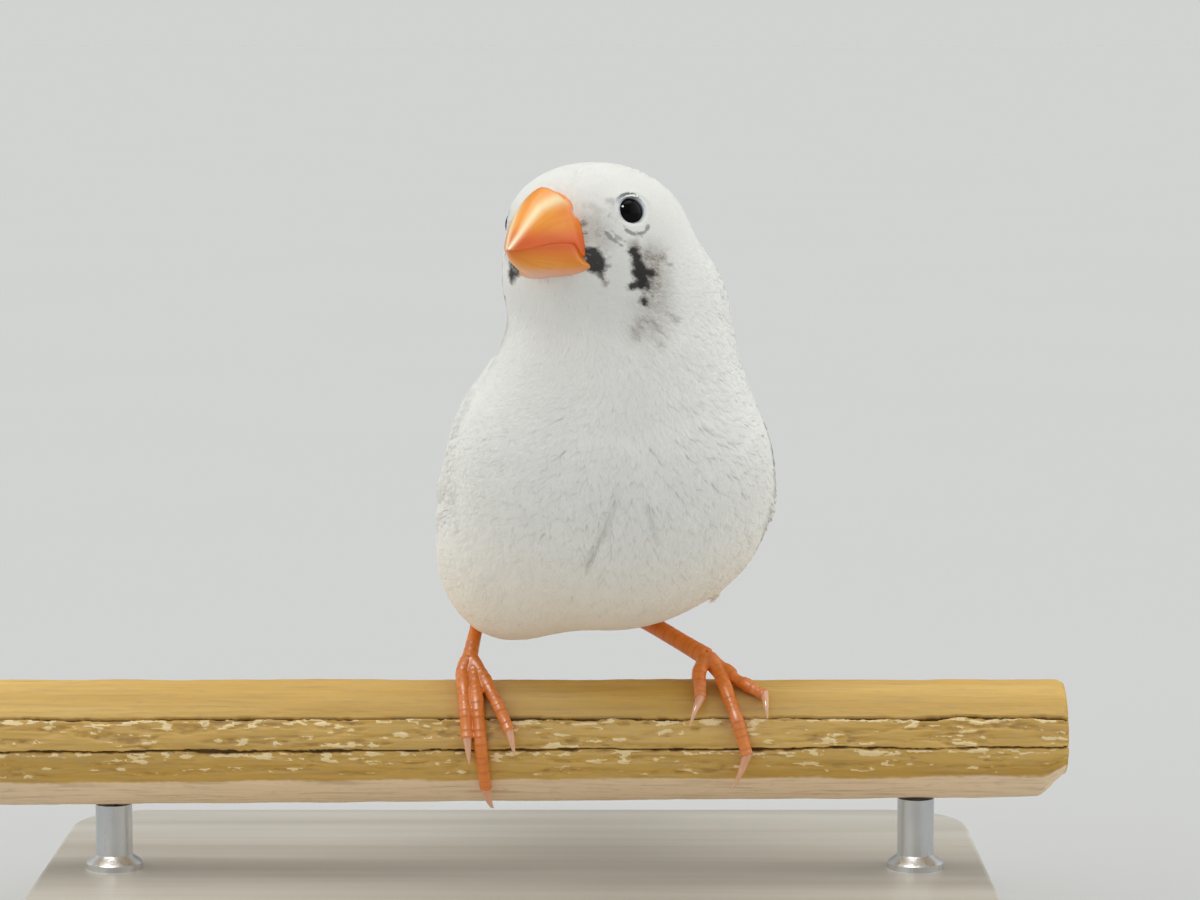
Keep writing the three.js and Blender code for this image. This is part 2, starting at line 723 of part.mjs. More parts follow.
// The perch's radius at an angle round it: a round bar with grooves, worn unevenly.
function perchRadius(angle, wear) {
  const apart = (a, b) => Math.abs(((a - b + 540) % 360) - 180);
  let radius = PERCH.radius + wear;
  for (const groove of PERCH.grooveAngles) {
    const depth = Math.max(0, 1 - apart(angle, groove) / PERCH.grooveHalfAngle);
    radius -= PERCH.grooveDepth * depth;
  }
  return radius;
}

// A point round the perch, `height` above its surface. Angles run from the top towards the bird's
// front, in degrees.
function roundPerch(x, angle, radius) {
  const turn = degrees(angle);
  return new THREE.Vector3(x, -radius * Math.sin(turn), radius * Math.cos(turn));
}

// Repeatable wear, the same on every run.
function seededDraws(seed) {
  let state = seed;
  return () => {
    state = (state * 1664525 + 1013904223) % 4294967296;
    return state / 4294967296;
  };
}

function perchGeometry(grow = 0) {
  const draw = seededDraws(7);
  const angles = [0, 20, 40, 55, 60, 65, 75, 85, 90, 95, 118, 135, 162, 190, 215, 235, 240, 245];
  angles.push(265, 270, 275, 300, 330);
  const { length, depth } = PERCH.endChamfer;
  const shares = Array.from({ length: PERCH.stations }, (_, i) => i / (PERCH.stations - 1));
  shares.splice(PERCH.stations - 1, 0, 1 - length / PERCH.length);
  const rings = shares.map((share) => {
    const x = PERCH.length * (share - 0.5) - BIRD_X;
    const scale = lerp(...PERCH.taper, share);
    const drop = PERCH.radius * (1 - scale);
    return angles.map((angle) => {
      const wear = PERCH.wear * (2 * draw() - 1);
      const point = roundPerch(x, angle, perchRadius(angle, wear) * scale + grow);
      const under = share === 1 ? Math.max(0, -Math.cos(degrees(angle))) : 0;
      return point.setZ(point.z + drop + depth * under);
    });
  });
  return loft(rings);
}

// The centreline of a toe, on the perch's surface at a height that lets its pads press on it.
function toePath(toeJoint, { x, wrap }) {
  const joint = new THREE.Vector3(...toeJoint);
  const path = [joint];
  const count = 6;
  for (let i = 0; i < count; i++) {
    const share = i / (count - 1);
    const settle = lerp(1.5, 0.62, smoothstep(share, 0, 0.3));
    path.push(
      roundPerch(
        lerp(x[0], x[1], share),
        lerp(wrap[0] + Math.sign(wrap[1]) * 8, wrap[1], share),
        PERCH.radius + settle * TOE.radius + GAP,
      ),
    );
  }
  return path;
}

function toeRadius(share) {
  const pads = Math.cos(2 * Math.PI * TOE.padsPerToe * share);
  return lerp(TOE.radius, TOE.tipRadius, share) + TOE.pad * pads * smoothstep(share, 0.1, 0.2);
}

function clawPath({ x, wrap, claw }, shareStart = 0) {
  const path = [];
  const count = 4;
  const start = wrap[1] + Math.sign(wrap[1]) * shareStart;
  for (let i = 0; i < count; i++) {
    const share = i / (count - 1);
    const lift = claw.lift * share + 0.35 * Math.sin(Math.PI * share);
    path.push(
      roundPerch(
        lerp(x[1], claw.x, share),
        lerp(start, wrap[1] + claw.wrap, share),
        PERCH.radius + 0.62 * TOE.radius + GAP + lift,
      ),
    );
  }
  return path;
}

function clawSolid(toe, grownPerch) {
  const radiusAt = (share) => lerp(CLAW.radius, CLAW.tipRadius, Math.pow(share, 1.4));
  const gapAngle = THREE.MathUtils.radToDeg(GAP / PERCH.radius);
  const path = clawPath(toe, gapAngle);
  return solidOf(tube(path, radiusAt, CLAW.sides, CLAW.stations)).subtract(grownPerch);
}

function footSolid(leg, grownPerch, grownLeg) {
  const toes = Object.values(leg.toes).map((toe) => {
    const path = toePath(leg.toeJoint, toe);
    return solidOf(tube(path, toeRadius, TOE.sides, TOE.stations));
  });
  return fuse(toes).subtract(grownPerch).subtract(grownLeg);
}

// The bare shank from the heel, hidden in the plumage, down to the joint of the toes.
function shankSolid({ heel, toeJoint, shankRadius }, grow) {
  const top = new THREE.Vector3(...heel);
  const joint = new THREE.Vector3(...toeJoint);
  const radiusAt = (share) => {
    const fromWaist = Math.abs(share - LEG.waistAt) / Math.max(LEG.waistAt, 1 - LEG.waistAt);
    const end = share < LEG.waistAt ? LEG.heelRadius : LEG.toeJointRadius;
    return lerp(shankRadius, end, Math.pow(Math.min(1, fromWaist), 3)) + grow;
  };
  const onwards = joint.clone().sub(top).normalize().multiplyScalar(grow);
  const path = [top, top.clone().lerp(joint, 0.5), joint.clone().add(onwards)];
  return solidOf(tube(path, radiusAt, LEG.sides, LEG.stations));
}

function baseGeometry() {
  const halfWidth = BASE.width / 2 - BASE.bevel;
  const halfDepth = BASE.depth / 2 - BASE.bevel;
  const corner = BASE.corner;
  const outline = new THREE.Shape();
  const corners = [
    [halfWidth, -halfDepth, -90],
    [halfWidth, halfDepth, 0],
    [-halfWidth, halfDepth, 90],
    [-halfWidth, -halfDepth, 180],
  ];
  for (const [x, y, start] of corners) {
    const middleX = x - Math.sign(x) * corner;
    const middleY = y - Math.sign(y) * corner;
    outline.absarc(middleX, middleY, corner, degrees(start), degrees(start + 90), false);
  }
  const slab = new THREE.ExtrudeGeometry(outline, {
    depth: BASE.thickness - 2 * BASE.bevel,
    bevelThickness: BASE.bevel,
    bevelSize: BASE.bevel,
    bevelSegments: 1,
    curveSegments: 5,
  });
  return slab.translate(0, 0, BASE.bevel);
}

// A rod in the bird's frame, from just above the base up to the perch's underside.
function rodSolid(side, grownPerch) {
  const foot = -PERCH.radius - ROD.length + GAP;
  const head = -PERCH.radius + ROD.intoPerch;
  const rod = new THREE.CylinderGeometry(ROD.radius, ROD.radius, head - foot, ROD.sides);
  rod.rotateX(Math.PI / 2).translate(side * ROD.halfSpacing - BIRD_X, 0, (head + foot) / 2);
  return solidOf(rod).subtract(grownPerch);
}

// A named mesh with its own material.
function meshOf(name, solidOrGeometry, look) {
  const isSolid = solidOrGeometry instanceof wasm.Manifold;
  const geometry = isSolid ? geometryOf(solidOrGeometry) : solidOrGeometry;
  const mesh = new THREE.Mesh(geometry, new THREE.MeshStandardMaterial(look));
  mesh.name = name;
  return mesh;
}

function birdGroup() {
  const bird = new THREE.Group();
  const grownTorso = bodySolid(TORSO_SURFACE, GAP);
  const grownPerch = solidOf(perchGeometry(GAP));
  const tailRoom = tailRoomSolid();
  bird.add(meshOf("perch", perchGeometry(), LOOKS.perch));
  bird.add(meshOf("torso", torsoSolid(), LOOKS.plumage));
  bird.add(meshOf("neck", neckSolid(), LOOKS.plumage));
  bird.add(meshOf("head", headSolid(), LOOKS.plumage));
  bird.add(meshOf("bill_upper", billSolid(1), LOOKS.bill));
  bird.add(meshOf("bill_lower", billSolid(-1), LOOKS.bill));
  bird.add(meshOf("tail", tailSolid(grownTorso), LOOKS.flight));
  for (const [name, side] of [["left", 1], ["right", -1]]) {
    const leg = LEGS[name];
    const shank = shankSolid(leg, 0).subtract(grownTorso).subtract(grownPerch);
    bird.add(meshOf(`eye_${name}`, eyeballSolid(side), LOOKS.eye));
    bird.add(meshOf(`wing_${name}`, wingSolid(side, grownTorso, tailRoom), LOOKS.flight));
    bird.add(meshOf(`leg_${name}`, shank, LOOKS.leg));
    bird.add(meshOf(`stand_rod_${name}`, rodSolid(side, grownPerch), LOOKS.rod));
    const foot = footSolid(leg, grownPerch, shankSolid(leg, GAP));
    bird.add(meshOf(`foot_${name}`, foot, LOOKS.leg));
    for (const [toeName, toe] of Object.entries(leg.toes)) {
      bird.add(meshOf(`claw_${name}_${toeName}`, clawSolid(toe, grownPerch), LOOKS.claw));
    }
  }
  return bird;
}

const display = new THREE.Group();

const base = meshOf("stand_base", baseGeometry(), LOOKS.base);
display.add(base);

const perched = birdGroup();
perched.position.set(BIRD_X, 0, BASE.thickness + ROD.length + PERCH.radius);
display.add(perched);

export default display;
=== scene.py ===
import math

import bpy
import numpy as np
from mathutils import Matrix, Vector, noise
from mathutils.bvhtree import BVHTree


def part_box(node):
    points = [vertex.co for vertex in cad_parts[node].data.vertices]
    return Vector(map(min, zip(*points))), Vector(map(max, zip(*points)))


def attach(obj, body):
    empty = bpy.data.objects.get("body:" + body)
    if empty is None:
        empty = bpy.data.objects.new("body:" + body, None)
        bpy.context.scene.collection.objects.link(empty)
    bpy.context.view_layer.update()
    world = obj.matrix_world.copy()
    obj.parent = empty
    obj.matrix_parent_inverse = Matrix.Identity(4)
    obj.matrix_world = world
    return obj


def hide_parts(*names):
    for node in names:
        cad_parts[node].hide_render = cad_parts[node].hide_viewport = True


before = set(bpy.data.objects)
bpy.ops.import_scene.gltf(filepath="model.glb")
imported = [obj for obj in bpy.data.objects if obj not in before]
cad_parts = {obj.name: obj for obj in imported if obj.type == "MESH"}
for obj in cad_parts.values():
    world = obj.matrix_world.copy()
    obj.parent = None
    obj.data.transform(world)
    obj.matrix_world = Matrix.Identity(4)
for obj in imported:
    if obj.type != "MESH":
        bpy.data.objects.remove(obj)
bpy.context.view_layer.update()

bl_info = {
    "name": "White Zebra Finch",
    "version": (1, 0, 0),
    "blender": (4, 5, 0),
    "location": "View3D > Sidebar > Finch",
    "description": "A white zebra finch gripping a worn perch, on a plain display stand",
    "category": "Object",
}

# Lengths in this file are millimetres, and the size properties hold metres. Four frames are used:
# the stand's own, the bird's on the perch's axis, the body's, turned and leaned in the bird's, and
# the head's between the eyes.
MM = 0.001
BIRD_ORIGIN = np.array([10.0, 0.0, 21.4])
PERCH_RADIUS = 6.4
BODY = {"pivot": (0, 2, 27), "turn": 4, "lean": 5}
HEAD = {"centre": (-1.3, -7, 54.6), "turn": -34, "raise": 5, "tilt": 7}


def placement(centre, turn, pitch, roll, pivot=(0, 0, 0)):
    """A matrix that turns, pitches nose up and rolls about a point."""
    return (
        Matrix.Translation(centre)
        @ Matrix.Rotation(math.radians(turn), 4, "Z")
        @ Matrix.Rotation(-math.radians(pitch), 4, "X")
        @ Matrix.Rotation(-math.radians(roll), 4, "Y")
        @ Matrix.Translation(-Vector(pivot))
    )


BODY_PLACE = placement(BODY["pivot"], BODY["turn"], 0, -BODY["lean"], BODY["pivot"])
HEAD_PLACE = placement(HEAD["centre"], HEAD["turn"], HEAD["raise"], HEAD["tilt"])


def to_stand(points):
    """Millimetre points in the bird's frame as metre points in the stand's frame."""
    return (np.asarray(points, float) + BIRD_ORIGIN) * MM


def to_bird(points):
    """Metre points in the stand's frame as millimetre points in the bird's frame."""
    return np.asarray(points, float) / MM - BIRD_ORIGIN


def moved(matrix, points):
    """Points moved by a matrix."""
    grid = np.array(matrix)
    return np.asarray(points, float) @ grid[:3, :3].T + grid[:3, 3]


def to_head(points):
    """Metre points in the stand's frame as millimetre points in the head's frame."""
    return moved(HEAD_PLACE.inverted(), to_bird(points))


def smoothstep(value, low, high):
    share = np.clip((np.asarray(value, float) - low) / (high - low), 0.0, 1.0)
    return share * share * (3 - 2 * share)


def lerp(start, end, share):
    return start + (end - start) * share


def unit(vectors):
    """Vectors scaled to a length of one."""
    lengths = np.linalg.norm(vectors, axis=-1, keepdims=True)
    return vectors / np.maximum(lengths, 1e-12)


def flat_to(vectors, normals):
    """Vectors laid flat in the planes that have these normals, at a length of one."""
    along = np.sum(vectors * normals, axis=-1, keepdims=True)
    return unit(vectors - along * normals)


def rough(points, scale, seed, octaves=3):
    """Smooth noise about -1 to 1 at each point; `scale` is its size in the points' own unit."""
    shift = Vector((seed, seed * 0.7, -seed))
    return np.array([
        noise.fractal(Vector(p) / scale + shift, 1.0, 2.0, octaves) for p in np.asarray(points)
    ])


# Objects and meshes


# How far apart, in metres, vertices that meet at a seam may lie, finely and widely.
SEAM = 1e-7
WIDE_SEAM = 1e-6
# How near to an end, as a share of a length, still counts as that end.
END = 1e-6


def activate(piece):
    """Makes a piece the only selected and the active object."""
    bpy.ops.object.select_all(action="DESELECT")
    piece.select_set(True)
    bpy.context.view_layer.objects.active = piece


def apply_modifier(piece, kind, **settings):
    """Adds a modifier with its settings to a piece and applies it."""
    activate(piece)
    modifier = piece.modifiers.new(kind.title(), kind)
    for name, value in settings.items():
        setattr(modifier, name, value)
    bpy.ops.object.modifier_apply(modifier=modifier.name)


def in_edit_mode(piece, *steps):
    """Runs edit-mode steps on all of a piece's mesh."""
    activate(piece)
    bpy.ops.object.mode_set(mode="EDIT")
    bpy.ops.mesh.select_all(action="SELECT")
    for step in steps:
        step()
    bpy.ops.object.mode_set(mode="OBJECT")


def close_seams(piece, distance=SEAM):
    """Merges touching vertices of a piece and turns its faces outwards."""
    in_edit_mode(
        piece,
        lambda: bpy.ops.mesh.remove_doubles(threshold=distance),
        lambda: bpy.ops.mesh.normals_make_consistent(inside=False),
    )


def vertices_of(piece):
    points = np.empty(len(piece.data.vertices) * 3)
    piece.data.vertices.foreach_get("co", points)
    return points.reshape(-1, 3)


def normals_of(piece):
    normals = np.empty(len(piece.data.vertices) * 3)
    piece.data.vertices.foreach_get("normal", normals)
    return normals.reshape(-1, 3)


def shape(piece, points):
    """Gives a piece's vertices new places."""
    piece.data.vertices.foreach_set("co", np.asarray(points, float).ravel())
    piece.data.update()


def tag(piece, name, values):
    """Stores one number at each vertex, for the piece's material."""
    layer = piece.data.attributes.get(name) or piece.data.attributes.new(name, "FLOAT", "POINT")
    layer.data.foreach_set("value", np.asarray(values, np.float32))


def joined(name, pieces):
    """One piece from several."""
    bpy.ops.object.select_all(action="DESELECT")
    for piece in pieces:
        piece.select_set(True)
    bpy.context.view_layer.objects.active = pieces[0]
    if len(pieces) > 1:
        bpy.ops.object.join()
    pieces[0].name = name
    return pieces[0]


def copy_of_nodes(name, *nodes):
    """A joined copy of frame nodes, its loose triangles merged."""
    copies = []
    for node_name in nodes:
        copy = bpy.data.objects.new(name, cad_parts[node_name].data.copy())
        bpy.context.collection.objects.link(copy)
        copies.append(copy)
    piece = joined(name, copies)
    close_seams(piece, WIDE_SEAM)
    return piece


def finish_piece(piece, material, replaces=(), smooth_angle=180):
    """Gives a piece its material, shading, body, slot and the nodes that it stands for."""
    piece.data.materials.clear()
    piece.data.materials.append(material)
    activate(piece)
    if smooth_angle >= 180:
        bpy.ops.object.shade_smooth()
    else:
        bpy.ops.object.shade_smooth_by_angle(angle=math.radians(smooth_angle))
    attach(piece, "root")
    if replaces:
        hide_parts(*replaces)


def primitive(name, add, **settings):
    """A new primitive, the only selected piece."""
    bpy.ops.object.select_all(action="DESELECT")
    add(**settings)
    piece = bpy.context.active_object
    piece.name = name
    return piece


def settle():
    """Takes the active piece's place, turn and size into its mesh."""
    bpy.ops.object.transform_apply(location=True, rotation=True, scale=True)


def grid_piece(name, rows, columns, place):
    """A grid laid out by place(along, across), both arrays from 0 to 1, in metres."""
    piece = primitive(
        name, bpy.ops.mesh.primitive_grid_add, x_subdivisions=rows, y_subdivisions=columns, size=1
    )
    flat = vertices_of(piece)
    shape(piece, place(flat[:, 0] + 0.5, flat[:, 1] + 0.5))
    return piece


def inside_ends(along):
    """Which of a grid's points lie between its two closed ends."""
    return (along > END) & (along < 1 - END)


def path_frames(path, shares):
    """Middles and directions of a smooth path through points, at shares of its length."""
    path = np.asarray(path, float)
    spans = len(path) - 1
    steps_per_span = 40
    nudge = 0.01
    knots = np.linspace(0, 1, spans + 1)
    fine = np.linspace(0, 1, steps_per_span * spans + 1)
    dense = np.stack([smooth_curve(knots, path[:, i])(fine) for i in range(3)], axis=1)
    steps = np.linalg.norm(np.diff(dense, axis=0), axis=1)
    reach = np.concatenate([[0], np.cumsum(steps)]) / steps.sum()

    def at(where):
        return np.stack([np.interp(where, reach, dense[:, i]) for i in range(3)], axis=1)

    return at(shares), unit(at(shares + nudge) - at(shares - nudge))


def smooth_curve(knots, values):
    """A smooth function through values at increasing knots, level beyond its ends."""
    knots, values = np.asarray(knots, float), np.asarray(values, float)
    slopes = np.gradient(values, knots)

    def at(where):
        where = np.clip(where, knots[0], knots[-1])
        i = np.clip(np.searchsorted(knots, where) - 1, 0, len(knots) - 2)
        width = knots[i + 1] - knots[i]
        t = (where - knots[i]) / width
        ends = values[i] * (1 + 2 * t) * (1 - t) ** 2 + values[i + 1] * t * t * (3 - 2 * t)
        turns = slopes[i] * t * (1 - t) ** 2 + slopes[i + 1] * t * t * (t - 1)
        return ends + turns * width

    return at


def tube_piece(name, path, rings, sides, radius_at, up_at):
    """A closed tube along a path in the bird's frame.

    radius_at(share, angle) is its radius, with angle 0 on the side that up_at(middles) points to.
    """

    def place(along, across):
        cap = 0.02
        share = np.clip(along * (1 + 2 * cap) - cap, 0, 1)
        middles, ahead = path_frames(path, share)
        up = flat_to(up_at(middles), ahead)
        side = np.cross(ahead, up)
        angle = across * 2 * np.pi
        radius = radius_at(share, angle) * inside_ends(along)
        ring = up * np.cos(angle)[:, None] + side * np.sin(angle)[:, None]
        return to_stand(middles + ring * radius[:, None])

    piece = grid_piece(name, rings, sides, place)
    close_seams(piece)
    return piece


def mesh_from_arrays(name, points, faces, values, uv):
    """A piece from points and lists of faces that have three or four corners."""
    mesh = bpy.data.meshes.new(name)
    mesh.vertices.add(len(points))
    mesh.vertices.foreach_set("co", np.asarray(points, np.float32).ravel())
    corners = np.concatenate([group.ravel() for group in faces])
    sizes = np.concatenate([np.full(len(group), group.shape[1]) for group in faces])
    mesh.loops.add(len(corners))
    mesh.loops.foreach_set("vertex_index", corners.astype(np.int32))
    mesh.polygons.add(len(sizes))
    starts = np.concatenate([[0], np.cumsum(sizes)[:-1]])
    mesh.polygons.foreach_set("loop_start", starts.astype(np.int32))
    mesh.update(calc_edges=True)
    layer = mesh.uv_layers.new(name="OFBake")
    layer.data.foreach_set("uv", np.asarray(uv, np.float32)[corners].ravel())
    piece = bpy.data.objects.new(name, mesh)
    bpy.context.collection.objects.link(piece)
    for key, numbers in values.items():
        tag(piece, key, numbers)
    return piece


# Materials


def node(tree, kind, inputs=None, **settings):
    """A shader node with its settings, and with values or links on its sockets."""
    made = tree.nodes.new(kind)
    for name, value in settings.items():
        setattr(made, name, value)
    for socket, value in (inputs or {}).items():
        if isinstance(value, bpy.types.NodeSocket):
            tree.links.new(value, made.inputs[socket])
        else:
            made.inputs[socket].default_value = value
    return made


def rgba(colour):
    return (*colour[:3], 1.0)


def mixed(tree, factor, first, second, blend="MIX"):
    """A colour between two colours, each a colour or a socket."""
    made = node(tree, "ShaderNodeMix", {0: factor}, data_type="RGBA", blend_type=blend)
    for index, colour in ((6, first), (7, second)):
        if isinstance(colour, bpy.types.NodeSocket):
            tree.links.new(colour, made.inputs[index])
        else:
            made.inputs[index].default_value = rgba(colour)
    return made.outputs[2]


def sums(tree, operation, first, second=0.0):
    return node(tree, "ShaderNodeMath", {0: first, 1: second}, operation=operation).outputs[0]


def ranged(tree, value, low, high, start=0.0, end=1.0):
    """A value taken from one range to another, and kept in it."""
    inputs = {"Value": value, "From Min": low, "From Max": high, "To Min": start, "To Max": end}
    return node(tree, "ShaderNodeMapRange", inputs).outputs[0]


def attribute(tree, name):
    return node(tree, "ShaderNodeAttribute", attribute_name=name).outputs["Fac"]


def object_place(tree, scale=(1, 1, 1)):
    """Object coordinates, scaled."""
    coordinates = node(tree, "ShaderNodeTexCoord").outputs["Object"]
    return node(tree, "ShaderNodeMapping", {"Vector": coordinates, "Scale": scale}).outputs[0]


def noise_at(tree, place, scale, detail=4.0, roughness=0.55):
    inputs = {"Vector": place, "Scale": scale, "Detail": detail, "Roughness": roughness}
    return node(tree, "ShaderNodeTexNoise", inputs).outputs["Fac"]


def bumped(tree, shader, height, strength, distance):
    """Adds relief from a height to a shader."""
    inputs = {"Height": height, "Strength": strength, "Distance": distance}
    relief = node(tree, "ShaderNodeBump", inputs)
    tree.links.new(relief.outputs[0], shader.inputs["Normal"])


def new_material(name, roughness=0.6, metallic=0.0, **sockets):
    """A material, its node tree and its shader, with plain numbers set on the shader."""
    material = bpy.data.materials.new(name)
    material.use_nodes = True
    shader = material.node_tree.nodes["Principled BSDF"]
    shader.inputs["Roughness"].default_value = roughness
    shader.inputs["Metallic"].default_value = metallic
    for socket, value in sockets.items():
        shader.inputs[socket.replace("_", " ")].default_value = value
    return material, material.node_tree, shader


def colour_from(tree, shader, socket):
    tree.links.new(socket, shader.inputs["Base Color"])


def laid_over(tree, value, under, colour, share=1.0, low=0.0, high=1.0):
    """A colour laid over another, up to a share, as a value or a tag goes from low to high."""
    if isinstance(value, str):
        value = attribute(tree, value)
    return mixed(tree, ranged(tree, value, low, high, 0.0, share), under, colour)


def new_group(name, inputs, outputs):
    """A node group whose sockets are numbers, and its input and output nodes."""
    group = bpy.data.node_groups.new(name, "ShaderNodeTree")
    for key, default in inputs.items():
        socket = group.interface.new_socket(name=key, in_out="INPUT", socket_type="NodeSocketFloat")
        socket.default_value = default
    for key in outputs:
        group.interface.new_socket(name=key, in_out="OUTPUT", socket_type="NodeSocketFloat")
    return group, group.nodes.new("NodeGroupInput"), group.nodes.new("NodeGroupOutput")


def mottle_group():
    """A shared group that puts out uneven tone about 1, from the place on the piece."""
    group = bpy.data.node_groups.get("Uneven Tone")
    if group:
        return group
    group, start, end = new_group("Uneven Tone", {"Size": 400.0, "Amount": 0.1}, ("Tone",))
    tone = noise_at(group, object_place(group), start.outputs["Size"])
    centred = sums(group, "SUBTRACT", tone, 0.5)
    scaled = sums(group, "MULTIPLY", centred, start.outputs["Amount"])
    group.links.new(sums(group, "ADD", scaled, 1.0), end.inputs["Tone"])
    return group


def toned(tree, colour, size, amount):
    """A colour made a little uneven."""
    group = node(tree, "ShaderNodeGroup", node_tree=mottle_group())
    group.inputs["Size"].default_value = size
    group.inputs["Amount"].default_value = amount
    vector = node(tree, "ShaderNodeCombineXYZ", {i: group.outputs["Tone"] for i in range(3)})
    return mixed(tree, 1.0, colour, vector.outputs[0], blend="MULTIPLY")


def grain_group():
    """A shared group of long wood grain along X: a fine streak and a broad one, 0 to 1."""
    group = bpy.data.node_groups.get("Long Grain")
    if group:
        return group
    group, start, end = new_group("Long Grain", {"Size": 1.0}, ("Fine", "Broad"))
    place = object_place(group, scale=(0.05, 1, 1))
    for name, size, detail in (("Fine", 2600.0, 3.0), ("Broad", 420.0, 2.0)):
        scale = sums(group, "MULTIPLY", start.outputs["Size"], size)
        group.links.new(noise_at(group, place, scale, detail), end.inputs[name])
    return group


def grained(tree, size):
    """The fine and the broad streak of the long wood grain, at a size."""
    grain = node(tree, "ShaderNodeGroup", node_tree=grain_group())
    grain.inputs["Size"].default_value = size
    return grain.outputs["Fine"], grain.outputs["Broad"]


# Properties


def size_property(name, description, millimetres):
    return bpy.props.FloatProperty(
        name=name, description=description, default=millimetres * MM, unit="LENGTH", precision=5
    )


def colour_property(name, description, colour):
    return bpy.props.FloatVectorProperty(
        name=name, description=description, default=colour, subtype="COLOR", min=0, max=1
    )


def number_property(name, description, number, **settings):
    return bpy.props.FloatProperty(name=name, description=description, default=number, **settings)


def share_property(name, description, share):
    return bpy.props.FloatProperty(
        name=name, description=description, default=share, subtype="FACTOR", min=0, max=1
    )


class FinchPlumage(bpy.types.PropertyGroup):
    """Sizes and colours of the small feathers."""

    body_depth: size_property("Body depth", "How deep the coat is on the body", 0.13)
    face_depth: size_property("Face depth", "How deep the coat is round the bill", 0.12)
    face_length: size_property("Face feather", "Length of the feathers round the bill", 1.1)
    body_length: size_property("Body feather", "Length of the breast and back feathers", 4.6)
    leg_length: size_property("Leg feather", "Length of the feathers where a leg comes out", 1.6)
    covert_length: size_property("Tail covert", "Length of the feathers over the tail's root", 6.5)
    width: share_property("Width", "Half-width of a feather as a share of its length", 0.14)
    layers: number_property("Layers", "How many feathers lie over one another", 14.0, min=1)
    seed: bpy.props.IntProperty(name="Seed", description="Start of the random draws", default=11)
    white: colour_property("White", "Colour of the plumage", (0.885, 0.885, 0.85))
    # The belly's tint: partly its real cream, partly painted warm light bounced from the perch.
    cream: colour_property("Cream", "Tint of the lower belly", (0.95, 0.87, 0.73))
    brown: colour_property("Brown", "Colour of the cheek's smudges", (0.19, 0.135, 0.095))
    # Also the colour of the painted shadow beside the bill.
    black: colour_property("Black", "Colour of the face's dark marks", (0.012, 0.009, 0.008))


class FinchWings(bpy.types.PropertyGroup):
    """Sizes and colours of the wing and tail feathers."""

    thickness: size_property("Thickness", "Thickness of a vane", 0.14)
    shaft_rise: size_property("Shaft", "How far a feather's shaft stands up", 0.07)
    barbs: number_property("Barbs", "How closely the barbs follow one another", 3.2, min=0.5)
    vane: colour_property("Vane", "Colour of the flight feathers", (0.84, 0.835, 0.81))


class FinchHead(bpy.types.PropertyGroup):
    """Colours of the bill and the eyes."""

    bill_lit: colour_property("Bill", "Orange of the bill", (1.0, 0.38, 0.014))
    bill_deep: colour_property("Bill base", "Deeper orange near the bill's edges", (0.84, 0.125, 0.004))
    bill_lower: colour_property("Lower bill", "Yellower orange of the lower mandible", (0.92, 0.37, 0.03))
    # Partly the ridge's pale horn, partly a painted highlight.
    bill_ridge_and_highlight: colour_property("Ridge", "Pale yellow streak beside the ridge", (1.0, 0.86, 0.50))
    bill_pink: colour_property("Pink", "Skin at the nostril and along the chin", (0.86, 0.42, 0.30))
    eye: colour_property("Eye", "Colour of the eyeball", (0.004, 0.003, 0.003))
    lid: colour_property("Lid", "Colour of the bare ring round the eye", (0.74, 0.78, 0.85))
    lid_shade: colour_property("Upper lid", "Darker upper side of the ring", (0.17, 0.18, 0.19))


class FinchFeet(bpy.types.PropertyGroup):
    """Sizes and colours of the legs, toes and claws."""

    scute_length: size_property("Scute", "Length of one scute along a toe", 0.95)
    scute_step: size_property("Scute step", "Height of a scute's edge", 0.055)
    skin: colour_property("Skin", "Orange of the scutes", (0.76, 0.20, 0.010))
    crease: colour_property("Crease", "Dark red between the scutes", (0.45, 0.10, 0.035))
    pale: colour_property("Pale", "Pinkish tint towards the toes' tips", (0.84, 0.29, 0.085))
    claw: colour_property("Claw", "Pinkish horn", (0.74, 0.34, 0.18))
    claw_tip: colour_property("Claw tip", "Pale tip of the horn", (0.82, 0.52, 0.35))


class FinchPerch(bpy.types.PropertyGroup):
    """Sizes and colours of the perch."""

    length: size_property("Length", "Length of the cut perch", 120)
    radius: size_property("Radius", "Radius of the bar", PERCH_RADIUS)
    groove_depth: size_property("Groove", "Depth of the grooves", 0.75)
    gnaw_depth: size_property("Gnaw", "Depth of the gnawed stretches", 0.42)
    pale: colour_property("Fresh wood", "Colour of freshly gnawed wood", (0.95, 0.76, 0.42))
    light: colour_property("Light wood", "Lighter streaks of the worn wood", (0.72, 0.46, 0.12))
    tan: colour_property("Wood", "Colour of the worn wood", (0.56, 0.325, 0.055))
    # The colour of the painted shade in the cracks.
    dark: colour_property("Grooves", "Colour of dirt in the grooves", (0.10, 0.055, 0.022))
    planed: colour_property("Flat", "Colour of the smooth underside", (0.90, 0.69, 0.46))


class FinchStand(bpy.types.PropertyGroup):
    """Sizes and colours of the display stand."""

    corner: size_property("Corner", "Radius of the base's corners", 9.0)
    edge: size_property("Edge", "Rounding of the base's edges", 0.8)
    collar: size_property("Collar", "How far a rod's collar stands out", 1.1)
    wood: colour_property("Base", "Colour of the base", (0.66, 0.63, 0.57))
    wood_dark: colour_property("Base grain", "Colour of the base's grain", (0.50, 0.46, 0.39))
    steel: colour_property("Rods", "Colour of the rods", (0.56, 0.57, 0.58))


